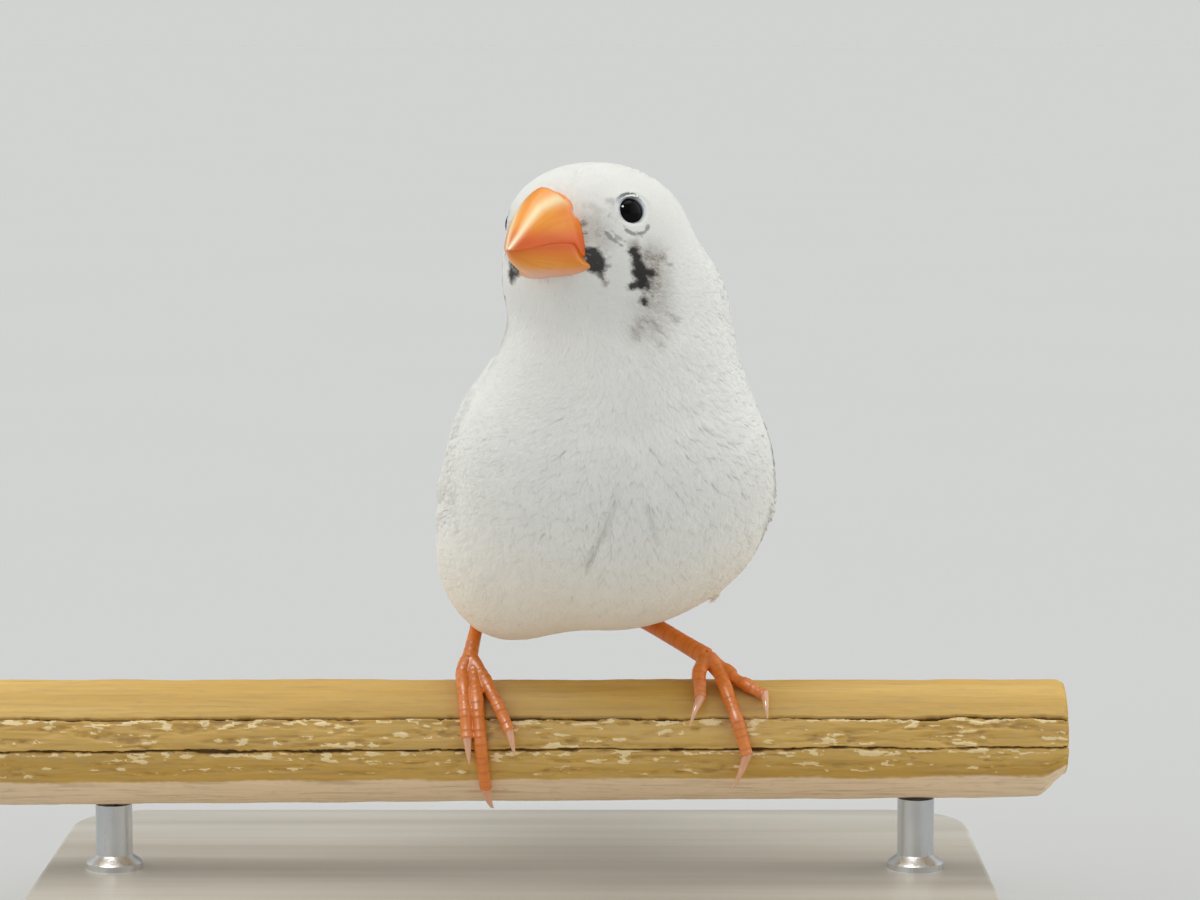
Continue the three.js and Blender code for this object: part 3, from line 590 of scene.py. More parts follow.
class FinchStage(bpy.types.PropertyGroup):
    """Camera, light and floor."""

    distance: size_property("Distance", "From the camera to the bird", 420)
    elevation: number_property("Elevation", "Of the camera", math.radians(6), subtype="ANGLE")
    pixels_per_millimetre: number_property("Scale", "Photo pixels to a millimetre at the bird", 9.2)
    daylight: number_property("Daylight", "Strength of the even light from all round", 0.16)
    sides: number_property("Sides", "How much stronger the daylight is at the sides", 1.45)
    overhead: number_property("Overhead", "How much stronger the daylight is overhead", 0.34)
    backdrop: number_property("Backdrop", "Brightness of the floor and of the air at its far edge", 0.65)
    key: number_property("Key light", "Strength of the soft light from above", 1.14)
    key_spread: number_property(
        "Softness", "Angle that the light from above fills", math.radians(50), subtype="ANGLE"
    )
    catch: number_property("Catch light", "Strength of the glint in the eyes and on the horn", 5.0)


# Skin


def coat_depth(points, sizes):
    """How deep the coat is under the solids' surface, in metres."""
    head = to_head(points)
    from_bill = np.linalg.norm(head - np.array(FACE_POINT), axis=1)
    depth = lerp(sizes.face_depth, sizes.body_depth, smoothstep(from_bill, 5, 24))
    for side in (1, -1):
        near_eye = np.linalg.norm(head - np.array(EYE_AT) * (side, 1, 1), axis=1)
        depth = lerp(sizes.face_depth * 0.8, depth, smoothstep(near_eye, 2.2, 5))
    return depth


# In the head's frame: the middle of the bill's base, the left eye and the way it looks.
FACE_POINT = (0, -10.5, -0.5)
EYE_AT = (7.8, -4, 2.6)
EYE_LOOKS = (0.86, -0.48, 0.16)
# In the body's frame: where the body's feathers all point, and the way that the tail points.
TAIL_POINT = (0, 67, 10)
TAIL_LINE = (0, 0.95, -0.3)
# The partings down the breast, in the bird's frame, with how deep each is beside the deepest.
PARTINGS = (
    (((1.0, -17.9, 27.9), (0.6, -17.7, 27.0), (-0.2, -17.2, 24.9), (-1.3, -16.2, 22.4),
      (-2.4, -14.7, 20.1)), 1.0),
    (((4.1, -17.4, 27.5), (4.6, -17.0, 26.2), (5.1, -16.5, 24.5), (5.5, -16.0, 23.4)), 0.3),
)
# How far to its sides a parting dents the skin and darkens the feathers with painted shade, and the
# deepest dent.
FOLD = {"dent": 0.6, "mark": 0.34, "depth": 0.35}
# Where on the flanks a few feathers stand off and how widely, what share of them do, and how far
# their tips do.
STRAYS = (((12.6, 2.5, 15.4), 1.5), ((-15.6, 1.5, 15.0), 0.9))
STRAY_CHANCE = 0.3
STRAY_LIFT = 2.6


class FINCH_OT_skin(bpy.types.Operator):
    """Makes one skin from the torso, neck and head, inside them by the coat's depth"""

    bl_idname = "finch.skin"
    bl_label = "Skin"

    def execute(self, context):
        sizes = context.scene.finch_plumage
        bridge = 0.3 * MM
        skin = copy_of_nodes("finch_skin", "torso", "neck", "head")
        apply_modifier(skin, "DISPLACE", strength=bridge, mid_level=0.0)
        apply_modifier(skin, "REMESH", mode="VOXEL", voxel_size=0.6 * MM)
        apply_modifier(skin, "SMOOTH", factor=0.5, iterations=8)
        points = vertices_of(skin)
        folded = fold_at(to_bird(points), FOLD["dent"]) * FOLD["depth"] * MM
        shape(skin, points - normals_of(skin) * (bridge + coat_depth(points, sizes) + folded)[:, None])
        unwrap = {"angle_limit": math.radians(66), "island_margin": 0.004}
        in_edit_mode(skin, lambda: bpy.ops.uv.smart_project(**unwrap))
        skin.data.uv_layers[0].name = "OFBake"
        for name, values in markings(vertices_of(skin)).items():
            tag(skin, name, values)
        finish_piece(skin, plumage_material(context.scene), ("torso", "neck", "head"))
        return {"FINISHED"}


# Markings


# Face marks on the left side, in the head's frame: points along each mark, its half-width and
# strength. The right side has the same marks. Among the dark ones, the thin line beside the upper
# mandible's edge is a painted shadow of the bill.
DARK_MARKS_AND_BILL_SHADOW = (
    (((4.2, -7.8, -1.7), (4.7, -7.5, -1.7), (5.2, -7.3, -2.0), (5.4, -7.1, -2.8), (5.4, -7.1, -3.7)),
     0.46, 1.0),
    (((4.3, -7.6, -2.2), (4.5, -7.5, -3.2)), 0.4, 1.0),
    (((3.9, -6.7, -2.2), (4.2, -6.6, -3.2)), 0.8, 1.0),
    (((4.8, -7.4, -2.3), (5.1, -7.2, -3.5)), 0.5, 1.0),
    (((8.1, -4.6, -1.8), (8.2, -4.5, -2.4), (8.3, -4.3, -3.2), (8.4, -4.1, -3.8)), 0.5, 1.0),
    (((8.3, -4.3, -3.2), (8.5, -4.0, -3.8), (9.0, -2.9, -4.2)), 0.46, 1.0),
    (((8.35, -4.2, -3.3), (8.4, -3.95, -4.2), (8.3, -3.7, -5.3)), 0.7, 1.0),
    (((7.7, -4.5, -5.4), (8.6, -3.1, -5.4)), 0.44, 0.97),
    (((8.0, -3.2, -6.9), (8.0, -3.1, -7.1)), 0.36, 0.97),
    # A painted shadow: the thin dark line along the upper mandible's edge.
    (((3.7, -7.6, 1.5), (3.9, -7.7, 0.4), (3.8, -7.9, -0.7)), 0.22, 0.7),
    (((7.7, -4.9, 0.4), (8.0, -4.6, 0.0), (8.4, -3.9, -0.0), (8.7, -3.2, 0.3), (8.9, -2.8, 0.7)), 0.17, 0.6),
    (((6.1, -6.5, 0.3), (6.6, -6.2, -0.5), (7.3, -5.6, -1.2)), 0.13, 0.5),
    (((6.4, -6.2, 0.5), (6.9, -5.8, -0.4), (7.5, -5.3, -0.9)), 0.09, 0.35),
)
BROWN_MARKS = (
    (((5.5, -7.0, -4.1), (5.7, -6.5, -5.2)), 0.17, 0.7),
    (((8.1, -4.6, -1.0), (8.4, -4.2, -1.5)), 0.42, 0.62),
    (((8.5, -4.0, -1.8), (9.3, -2.2, -1.6)), 0.5, 0.36),
    (((8.8, -3.6, -2.5), (9.6, -1.4, -2.6)), 0.6, 0.62),
    (((9.6, -1.5, -3.1), (9.9, -0.1, -3.3)), 0.22, 0.5),
    (((9.0, -2.9, -3.8), (9.2, -2.2, -4.3)), 0.36, 0.8),
    (((8.6, -3.2, -5.1), (9.3, -1.5, -5.3)), 0.36, 0.6),
    (((8.3, -3.3, -6.0), (8.2, -2.5, -7.6)), 0.42, 0.6),
    (((7.3, -3.2, -10.1), (7.5, -3.1, -9.1), (8.0, -2.6, -8.8), (8.5, -1.8, -9.6), (8.8, -1.6, -10.3)),
     0.5, 0.48),
    (((7.2, -3.4, -10.0), (7.3, -3.3, -10.7)), 0.55, 0.5),
    (((8.5, -1.3, -11.5), (8.9, -1.6, -11.7)), 0.26, 0.45),
    (((9.3, -0.6, -8.4), (9.8, 0.4, -9.0)), 0.45, 0.4),
    (((8.9, -3.2, -2.2), (9.2, -2.3, -4.0), (9.0, -2.3, -6.2)), 0.95, 0.55),
    (((9.2, -2.5, -2.6), (9.3, -1.8, -5.6), (9.0, -1.6, -7.4)), 1.6, 0.34),
    (((8.8, -2.2, -7.0), (8.4, -2.3, -10.2)), 1.7, 0.26),
    (((4.6, -7.2, 1.4), (5.6, -6.9, -0.6)), 1.0, 0.3),
    (((4.2, -7.6, 0.8), (4.4, -7.7, -0.7)), 0.25, 0.5),
    (((5.2, -7.0, 1.1), (5.4, -7.0, -0.1)), 0.2, 0.45),
    (((5.8, -6.6, 0.7), (6.0, -6.7, -0.3)), 0.18, 0.35),
    (((6.0, -5.5, 3.7), (6.3, -5.4, 3.4)), 0.3, 0.38),
    (((4.3, -6.8, 3.3), (5.3, -6.5, 2.5)), 0.35, 0.25),
)
# How far from the head's middle marks are looked for, how their edges wander, and how little the
# distance to the side counts, so that a mark follows the cheek round.
FACE_REACH = 16
MARK_WANDER = {"size": 0.7, "amount": 0.24}
SIDE_SHARE = np.array([0.45, 1, 1])
# Where the belly's cream tint fades, in height and towards the tail, and its most. The tint is partly
# the belly's real cream and partly painted warm light bounced up from the perch.
CREAM_AND_BOUNCE = {"height": (10, 27), "behind": (12, 34), "most": 0.85}


def distance_to_line(points, line):
    """Distance of each point to a line through several points."""
    best = np.full(len(points), np.inf)
    for start, end in zip(np.array(line[:-1]), np.array(line[1:])):
        run = end - start
        share = np.clip(((points - start) @ run) / (run @ run), 0, 1)
        best = np.minimum(best, np.linalg.norm(points - start - share[:, None] * run, axis=1))
    return best


def to_left(head):
    """Points in the head's frame, those on the right side mirrored to the left."""
    return np.abs(head) * (1, 0, 0) + head * (0, 1, 1)


def fold_at(bird, spread):
    """How deep in one of the breast's partings points in the bird's frame lie, from 0 to 1."""
    fold = np.zeros(len(bird))
    for line, depth in PARTINGS:
        fold = np.maximum(fold, depth * np.exp(-((distance_to_line(bird, line) / spread) ** 2)))
    return fold


def markings(points):
    """How black, brown and cream the plumage is at points in metres, with its painted shade and light.

    The black holds a painted shadow beside the bill, the cream is partly painted warm light bounced from
    the perch, and the fold is painted shade down the breast's partings.
    """
    head = to_head(points)
    bird = to_bird(points)
    flat = to_left(head) * SIDE_SHARE
    near_face = np.linalg.norm(head, axis=1) < FACE_REACH
    wander = np.zeros(len(points))
    wander[near_face] = rough(head[near_face], MARK_WANDER["size"], seed=3.0) * MARK_WANDER["amount"]
    marks = {}
    for name, group in (("black_mark_and_bill_shadow", DARK_MARKS_AND_BILL_SHADOW), ("brown_mark", BROWN_MARKS)):
        amount = np.zeros(len(points))
        for line, half_width, strength in group:
            gap = distance_to_line(flat, np.array(line) * SIDE_SHARE) + wander
            soft = min(0.3, half_width * 0.7) if name == "black_mark_and_bill_shadow" else half_width * 0.9
            covered = strength * (1 - smoothstep(gap, half_width - soft, half_width + soft))
            amount = np.maximum(amount, covered)
        marks[name] = amount * near_face
    # The cream tint: partly real cream, partly painted warm light bounced from the perch.
    low = 1 - smoothstep(bird[:, 2], *CREAM_AND_BOUNCE["height"])
    marks["cream_and_bounce_tint"] = low * (1 - smoothstep(bird[:, 1], *CREAM_AND_BOUNCE["behind"])) * CREAM_AND_BOUNCE["most"]
    # Painted shade along the breast's partings.
    marks["fold"] = fold_at(bird, FOLD["mark"])
    return marks


# Coat of small feathers


# How wide a feather's own patch is on the skin's map, and how many feathers one piece holds.
OWN_PATCH = 0.003
MOST_FEATHERS = 5600
# The heights between which the feathers' lie goes over from the body's to the head's, and how much
# lower the breast's feathers aim, up to a distance towards the tail.
HEAD_LIE = (38, 50)
BREAST_LIE = {"lower": 16, "until": (-4, 14)}
# The bare opening round an eye: how far ahead of the ball's middle it is centred for the feathers'
# lie and for their roots, and how far round it each of them keeps clear.
LID_RIM = {"lie_ahead": 1.4, "lie": 2.0, "root_ahead": 1.2, "root": 1.95}
# How far feathers follow the surface, in steps, and how far, as a share of a step, they may be drawn
# back to it before they run on straight.
PATH_STEPS = 4
MOST_PULL = 0.45
# A feather's share of the area of a square on its length, at a width of one, and the range of its
# random length.
FAN_AREA = 1.86
LENGTH_RANGE = (0.82, 1.15)
# How far over the skin the wings are looked for where feathers rise over them, and the wings and the
# bill where the feathers under them are left out.
WING_REACH = {"rise": 2.6, "cover": 3}
# Where the coat is cut into pieces: the neck's height, and how far back the breast reaches.
NECK_HEIGHT = 46
BREAST_END = 4


class Surface:
    """A smooth closed mesh that feathers are laid on."""

    def __init__(self, piece):
        mesh = piece.data
        mesh.calc_loop_triangles()
        count = len(mesh.loop_triangles)
        self.corners = np.empty(count * 3, np.int32)
        mesh.loop_triangles.foreach_get("vertices", self.corners)
        self.corners = self.corners.reshape(-1, 3)
        loops = np.empty(count * 3, np.int32)
        mesh.loop_triangles.foreach_get("loops", loops)
        self.points = vertices_of(piece)
        self.normals = normals_of(piece)
        self.tree = BVHTree.FromPolygons(self.points.tolist(), self.corners.tolist())
        self.rises = np.zeros(len(self.points))
        flat = np.empty(len(mesh.loops) * 2)
        mesh.uv_layers[0].data.foreach_get("uv", flat)
        self.uv = flat.reshape(-1, 2)[loops].reshape(-1, 3, 2)

    def weights(self, points, triangles):
        """The share of each triangle's three corners at a point on it."""
        a, b, c = (self.points[self.corners[triangles, i]] for i in range(3))
        across = np.cross(b - a, c - a)
        area = np.maximum(np.sum(across * across, axis=1), 1e-30)
        to_b = np.sum(np.cross(points - a, c - a) * across, axis=1) / area
        to_c = np.sum(np.cross(b - a, points - a) * across, axis=1) / area
        return np.stack([1 - to_b - to_c, to_b, to_c], axis=1)

    def normals_at(self, points, triangles):
        shares = self.weights(points, triangles)[:, :, None]
        return unit(np.sum(self.normals[self.corners[triangles]] * shares, axis=1))

    def rises_at(self, points, triangles):
        """How far feathers must rise over the surface at points on it, in metres."""
        return np.sum(self.rises[self.corners[triangles]] * self.weights(points, triangles), axis=1)

    def rise_over(self, trees, reach, rounds=20):
        """Works out how far each place must rise to lie on some pieces, evened out over the surface."""
        found = height_over(trees, self.points, self.normals, reach)
        flat = self.corners.ravel()
        uses = np.maximum(1, np.bincount(flat, minlength=len(found)))
        rises = found
        for turn in range(rounds):
            shared = np.repeat(rises[self.corners].mean(axis=1), 3)
            rises = np.bincount(flat, shared, minlength=len(found)) / uses
            if turn < rounds / 2:
                rises = np.maximum(rises, found)
        self.rises = rises

    def nearest(self, points):
        """The nearest place on the surface to each point, the normal there, and how far to rise."""
        places = np.empty_like(points)
        triangles = np.empty(len(points), np.int32)
        for i, point in enumerate(points.tolist()):
            place, _, triangles[i], _ = self.tree.find_nearest(point)
            places[i] = place
        return places, self.normals_at(places, triangles), self.rises_at(places, triangles)

    def scattered(self, density, draws):
        """Roots spread evenly, `density` to each square metre at its place."""
        a, b, c = (self.points[self.corners[:, i]] for i in range(3))
        areas = np.linalg.norm(np.cross(b - a, c - a), axis=1) / 2
        wanted = areas * density((a + b + c) / 3)
        counts = np.floor(wanted + draws.random(len(wanted))).astype(int)
        triangles = np.repeat(np.arange(len(counts)), counts)
        first, second = draws.random((2, len(triangles)))
        flip = first + second > 1
        first, second = np.where(flip, 1 - first, first), np.where(flip, 1 - second, second)
        shares = np.stack([1 - first - second, first, second], axis=1)[:, :, None]
        places = np.sum(self.points[self.corners[triangles]] * shares, axis=1)
        uv = np.sum(self.uv[triangles] * shares, axis=1)
        return places, self.normals_at(places, triangles), uv


def eye_middles():
    """The middles of the eyeballs and the ways they look, left eye first."""
    eyes = []
    for name, side in (("eye_left", 1), ("eye_right", -1)):
        low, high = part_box(name)
        looks = HEAD_PLACE.to_3x3() @ Vector((EYE_LOOKS[0] * side, *EYE_LOOKS[1:])).normalized()
        eyes.append((np.array((low + high) / 2), np.array(looks)))
    return eyes


def feather_lie(points, normals):
    """Which way the small feathers lie: away from the bill on the head, to the tail on the body."""
    bird = to_bird(points)
    aim = np.zeros_like(bird) + TAIL_POINT
    aim[:, 2] -= BREAST_LIE["lower"] * (1 - smoothstep(bird[:, 1], *BREAST_LIE["until"]))
    to_tail = unit(moved(BODY_PLACE, aim) - bird)
    face = moved(HEAD_PLACE, [FACE_POINT])
    from_bill = unit(bird - face)
    on_head = smoothstep(bird[:, 2], *HEAD_LIE)[:, None]
    lie = flat_to(lerp(to_tail, from_bill, on_head), normals)
    rim = LID_RIM["lie"] * MM
    for middle, looks in eye_middles():
        away = points - (middle + looks * LID_RIM["lie_ahead"] * MM)
        gap = np.linalg.norm(away, axis=1, keepdims=True)
        out = away / np.maximum(gap, 1e-9)
        push = np.minimum(1, (rim / gap) ** 2)
        inwards = np.sum(lie * out, axis=1, keepdims=True)
        lie = np.where(gap < 4 * rim, lie - 2 * push * np.minimum(inwards, 0) * out, lie)
    return flat_to(lie, normals)


def feather_length(points, sizes):
    """The length of a small feather rooted at each point, in metres."""
    from_bill = np.linalg.norm(to_head(points) - np.array(FACE_POINT), axis=1)
    bird = to_bird(points)
    length = lerp(sizes.face_length, sizes.body_length, smoothstep(from_bill, 4, 36) ** 0.8)
    for middle, _ in eye_middles():
        near = np.linalg.norm(points - middle, axis=1) / MM
        length = lerp(np.minimum(length, sizes.face_length * 0.85), length, smoothstep(near, 2.6, 6.5))
    length = lerp(length, sizes.covert_length, smoothstep(bird[:, 1], 22, 35))
    for leg in LEGS.values():
        from_leg = distance_to_line(bird, (leg["heel"], leg["joint"]))
        length = lerp(np.minimum(length, sizes.leg_length), length, smoothstep(from_leg, 1.2, 6))
    return length


def covered_by(trees, points, normals, reach):
    """Which points lie under one of some pieces, within a reach along their normals."""
    hidden = np.zeros(len(points), bool)
    for i, (point, normal) in enumerate(zip(points.tolist(), normals.tolist())):
        hidden[i] = any(tree.ray_cast(point, normal, reach)[0] is not None for tree in trees)
    return hidden


def search_tree(piece):
    """A search tree of one piece."""
    corners = [tuple(face.vertices) for face in piece.data.polygons]
    return BVHTree.FromPolygons([tuple(v.co) for v in piece.data.vertices], corners)


def height_over(trees, points, normals, reach):
    """How far along their normals points must rise to lie on some pieces, in metres."""
    heights = np.zeros(len(points))
    starts = points + normals * reach
    for i, (start, normal) in enumerate(zip(starts.tolist(), (-normals).tolist())):
        for tree in trees:
            hit = tree.ray_cast(start, normal, reach)
            if hit[0] is not None:
                heights[i] = max(heights[i], reach - hit[3])
    return heights


def stray_share(points):
    """How much the feathers at points in metres stand off from the body, from 0 to 1."""
    bird = to_bird(points)
    share = np.zeros(len(points))
    for place, size in STRAYS:
        share = np.maximum(share, np.exp(-((np.linalg.norm(bird - place, axis=1) / size) ** 2)))
    return share


def path_over(surface, roots, normals, lengths, draws):
    """Paths from roots along the feathers' lie, with their normals, heights and strays."""
    yaw = draws.normal(0, JITTER["yaw"], len(roots))[:, None]
    path, path_normals = [roots], [normals]
    heights = [surface.nearest(roots)[2] * 0.8]
    for _ in range(PATH_STEPS):
        lie = feather_lie(path[-1], path_normals[-1])
        side = np.cross(path_normals[-1], lie)
        lie = unit(lie * np.cos(yaw) + side * np.sin(yaw))
        stride = lengths[:, None] / PATH_STEPS
        ahead = path[-1] + lie * stride
        settled, settled_normals, rises = surface.nearest(ahead)
        off = np.linalg.norm(settled - ahead, axis=1, keepdims=True) > stride * MOST_PULL
        path.append(np.where(off, ahead, settled))
        path_normals.append(np.where(off, path_normals[-1], settled_normals))
        heights.append(rises)
    stray = stray_share(roots) * (draws.random(len(roots)) < STRAY_CHANCE)
    lifted = np.outer(stray, np.linspace(0, 1, PATH_STEPS + 1) ** 1.5) * STRAY_LIFT * MM
    heights = np.stack(heights, axis=1) + lifted
    return np.stack(path, axis=1), np.stack(path_normals, axis=1), heights, stray


# Where a barb has its pairs of edge points along its length. Its tip comes last.
BARB_ROWS = np.array([0, 0.8, 1])
BARBS = 11
# A feather's fan of barbs, as shares: how much shorter its outer barbs are, how far their lengths
# differ, how wide its root is, how far its root is sunk and its tip dips back into the coat, how far
# its sides bend down, how wide a barb is, how much thinner a stray's barbs are and how round they are.
FAN = {
    "outer_shorter": 0.3, "uneven": 0.13, "root": 0.25, "sunk": 0.96, "tip_dip": 0.12, "camber": 0.08,
    "barb": 2.2, "stray_thinner": 0.7, "rounding": 0.16,
}
# How far feathers and barbs differ at random: in direction, depth and roll, and in their normals.
JITTER = {"yaw": 0.05, "depth": 0.02, "roll": 0.04, "barb_tilt": 0.035, "tilt": 0.025, "pitch": 0.03}


def lay_feathers(surface, chosen, sizes, draws):
    """Small feathers on a surface: each a fan of barbs along a path that follows the surface.

    Returns the points and the normals of each feather's barbs, and how far across they lie.
    """
    roots, normals, _, lengths = chosen
    count = len(roots)
    path, path_normals, heights, stray = path_over(surface, roots, normals, lengths, draws)
    across = np.linspace(-1, 1, BARBS)[None, :, None]
    reach = 1 - FAN["outer_shorter"] * across**2 - FAN["uneven"] * draws.random((count, BARBS, 1))
    share = reach * BARB_ROWS
    spot = np.clip(share * PATH_STEPS, 0, PATH_STEPS - END)
    low = spot.astype(int)
    mix = (spot - low)[..., None]
    index = np.arange(count)[:, None, None]
    middle = lerp(path[index, low], path[index, low + 1], mix)
    normal = unit(lerp(path_normals[index, low], path_normals[index, low + 1], mix))
    ahead = unit(path[index, low + 1] - path[index, low])
    side = unit(np.cross(normal, ahead))

    half = (lengths * sizes.width)[:, None, None]
    opened = smoothstep(share, 0, 0.5)
    spread = across * half * lerp(FAN["root"], 1.0, opened)
    depths = (coat_depth(roots, sizes) * (1 + JITTER["depth"] * draws.normal(0, 1, count)))[:, None, None]
    dip = FAN["tip_dip"] * smoothstep(share / reach, 0.8, 1)
    lift = depths * (1 - FAN["sunk"] * (1 - share) ** 2.4 - dip)
    lift = lift + lerp(heights[index, low], heights[index, low + 1], mix[..., 0])
    camber = -FAN["camber"] * half * across**2 * opened
    middle = middle + side * spread[..., None] + normal * (lift + camber)[..., None]

    thinner = 1 - FAN["stray_thinner"] * stray[:, None, None]
    edge = side * (half / BARBS * FAN["barb"] * thinner)[..., None]
    roll = draws.normal(0, JITTER["roll"], (count, BARBS, 1, 1))
    edge = edge + normal * np.linalg.norm(edge, axis=-1, keepdims=True) * roll
    pairs = np.stack([middle - edge, middle + edge], axis=3)[:, :, :-1]
    points = np.concatenate([pairs.reshape(count, BARBS, -1, 3), middle[:, :, -1:]], axis=2)

    tilt = draws.normal(0, JITTER["barb_tilt"], (count, BARBS, 1, 1))
    tilt = tilt + draws.normal(0, JITTER["tilt"], (count, 1, 1, 1))
    pitch = draws.normal(0, JITTER["pitch"], (count, BARBS, 1, 1))
    leaned = normal + side * tilt + ahead * pitch
    outwards = side * FAN["rounding"]
    rounded = np.stack([leaned - outwards, leaned + outwards], axis=3)[:, :, :-1]
    turned = np.concatenate([rounded.reshape(count, BARBS, -1, 3), leaned[:, :, -1:]], axis=2)
    return points, unit(turned), across


def feather_faces(count):
    """Faces of barbs that each have two edge points in every row and one tip point."""
    rows = len(BARB_ROWS) - 1
    starts = (np.arange(count) * (rows * 2 + 1))[:, None]
    quads = [starts + np.array([2 * r + 1, 2 * r, 2 * r + 2, 2 * r + 3]) for r in range(rows - 1)]
    last = 2 * (rows - 1)
    return [np.concatenate(quads), starts + np.array([last + 1, last, last + 2])]


def feather_piece(name, surface, chosen, sizes, draws, material):
    """Makes one piece of the coat, from the feathers that `chosen` holds."""
    points, point_normals, across = lay_feathers(surface, chosen, sizes, draws)
    count, _, per_barb, _ = points.shape
    seen = lerp(points[:, :, 0], points[:, :, -1], 0.85).reshape(-1, 3)
    values = {key: np.repeat(amount, per_barb) for key, amount in markings(seen).items()}
    tone = 0.4 * draws.random((count, 1)) + 0.6 * draws.random((count, BARBS))
    values["tone"] = np.repeat(tone.ravel(), per_barb)
    values["brown_mark"] = np.minimum(1, values["brown_mark"] * (0.5 + values["tone"]))
    local = np.zeros((count, BARBS, per_barb, 2))
    local[..., 0] = across * OWN_PATCH * 0.5
    local[..., :-1, 1] = np.repeat(BARB_ROWS[:-1] - 0.5, 2) * OWN_PATCH
    local[..., -1, 1] = OWN_PATCH * 0.5
    uv = (chosen[2][:, None, None] + local).reshape(-1, 2)
    faces = feather_faces(count * BARBS)
    piece = mesh_from_arrays(name, points.reshape(-1, 3), faces, values, uv)
    finish_piece(piece, material)
    piece.data.normals_split_custom_set_from_vertices(point_normals.reshape(-1, 3).tolist())


class FINCH_OT_coat(bpy.types.Operator):
    """Lays the small feathers over the skin, smallest on the face"""

    bl_idname = "finch.coat"
    bl_label = "Small feathers"

    def execute(self, context):
        sizes = context.scene.finch_plumage
        draws = np.random.default_rng(sizes.seed)
        surface = Surface(bpy.data.objects["finch_skin"])
        wings = [search_tree(bpy.data.objects[f"wing_feathers_{side}"]) for side in ("left", "right")]
        surface.rise_over(wings, WING_REACH["rise"] * MM)

        def density(places):
            lengths = feather_length(places, sizes)
            return sizes.layers / (FAN_AREA * sizes.width * lengths**2)

        roots, normals, uv = surface.scattered(density, draws)
        lengths = feather_length(roots, sizes) * draws.uniform(*LENGTH_RANGE, len(roots))
        facing = normals @ unit(moved(BODY_PLACE.to_3x3().to_4x4(), [TAIL_LINE])[0])
        lengths *= lerp(1, 0.3, smoothstep(facing, 0.4, 0.75))
        near_eye = np.zeros(len(roots), bool)
        for middle, looks in eye_middles():
            opening = middle + looks * LID_RIM["root_ahead"] * MM
            near_eye |= np.linalg.norm(roots - opening, axis=1) < LID_RIM["root"] * MM
        bill = [search_tree(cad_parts[name]) for name in ("bill_upper", "bill_lower")]
        keep = ~near_eye & ~covered_by(bill + wings, roots, normals, WING_REACH["cover"] * MM)
        roots, normals, uv, lengths = (a[keep] for a in (roots, normals, uv, lengths))
        bird = to_bird(roots)
        on_head = bird[:, 2] > NECK_HEIGHT
        ahead = bird[:, 1] < BREAST_END
        regions = {"head": on_head, "breast": ~on_head & ahead, "back": ~on_head & ~ahead}
        material = plumage_material(context.scene)
        for name, inside in regions.items():
            order = np.flatnonzero(inside)
            order = order[np.argsort(bird[order, 0])]
            parts = max(1, math.ceil(len(order) / MOST_FEATHERS))
            for number, part in enumerate(np.array_split(order, parts), 1):
                chosen = [a[part] for a in (roots, normals, uv, lengths)]
                piece_name = f"feathers_{name}_{number}"
                feather_piece(piece_name, surface, chosen, sizes, draws, material)
        return {"FINISHED"}


def plumage_material(scene):
    """White feathers with the black, brown and cream of the markings, and painted light and shade.

    The black holds a painted shadow beside the bill, the fold is painted shade down the breast's partings,
    and the cream is partly painted warm light bounced from the perch.
    """
    if "Plumage" in bpy.data.materials:
        return bpy.data.materials["Plumage"]
    colours = scene.finch_plumage
    material, tree, shader = new_material("Plumage", roughness=0.78, Sheen_Weight=0.12, Sheen_Roughness=0.5)
    white = toned(tree, colours.white, 260.0, 0.10)
    shade = laid_over(tree, "tone", white, (0.62, 0.61, 0.57), 0.10)
    # Painted shade down the breast's partings.
    fold_shaded = laid_over(tree, "fold", shade, (0.30, 0.29, 0.25), 0.9)
    # Partly real cream, partly painted warm light bounced from the perch, on the lower belly.
    cream = laid_over(tree, "cream_and_bounce_tint", fold_shaded, colours.cream)
    brown = laid_over(tree, "brown_mark", cream, colours.brown)
    # Black marks, and the painted shadow beside the bill.
    colour_from(tree, shader, laid_over(tree, "black_mark_and_bill_shadow", brown, colours.black))
    return material


# Wings and tail


# The folded wing's outer form in the body's frame: the distance behind the wing's bend, the
# half-width out from the body's middle, and the reach up and down. It melts into the body's form,
# lies between sunk and proud of it, and its upper edge is tucked in, most where the edge slides up.
WING = {
    "origin": (0, -6, 32.5),
    "pitch": -12,
    "along": (-4, 4, 13, 25, 37, 54),
    "out": (12.8, 16.7, 16.4, 13.2, 8.6, 4),
    "reach": (11.5, 13, 14.2, 13, 11, 8),
    "melt": 1.6,
    "sunk": -1.4,
    "proud": 0.5,
    "tuck": (6.5, 11),
    "tuck_height": 0.55,
    "slide": 7.0,
}
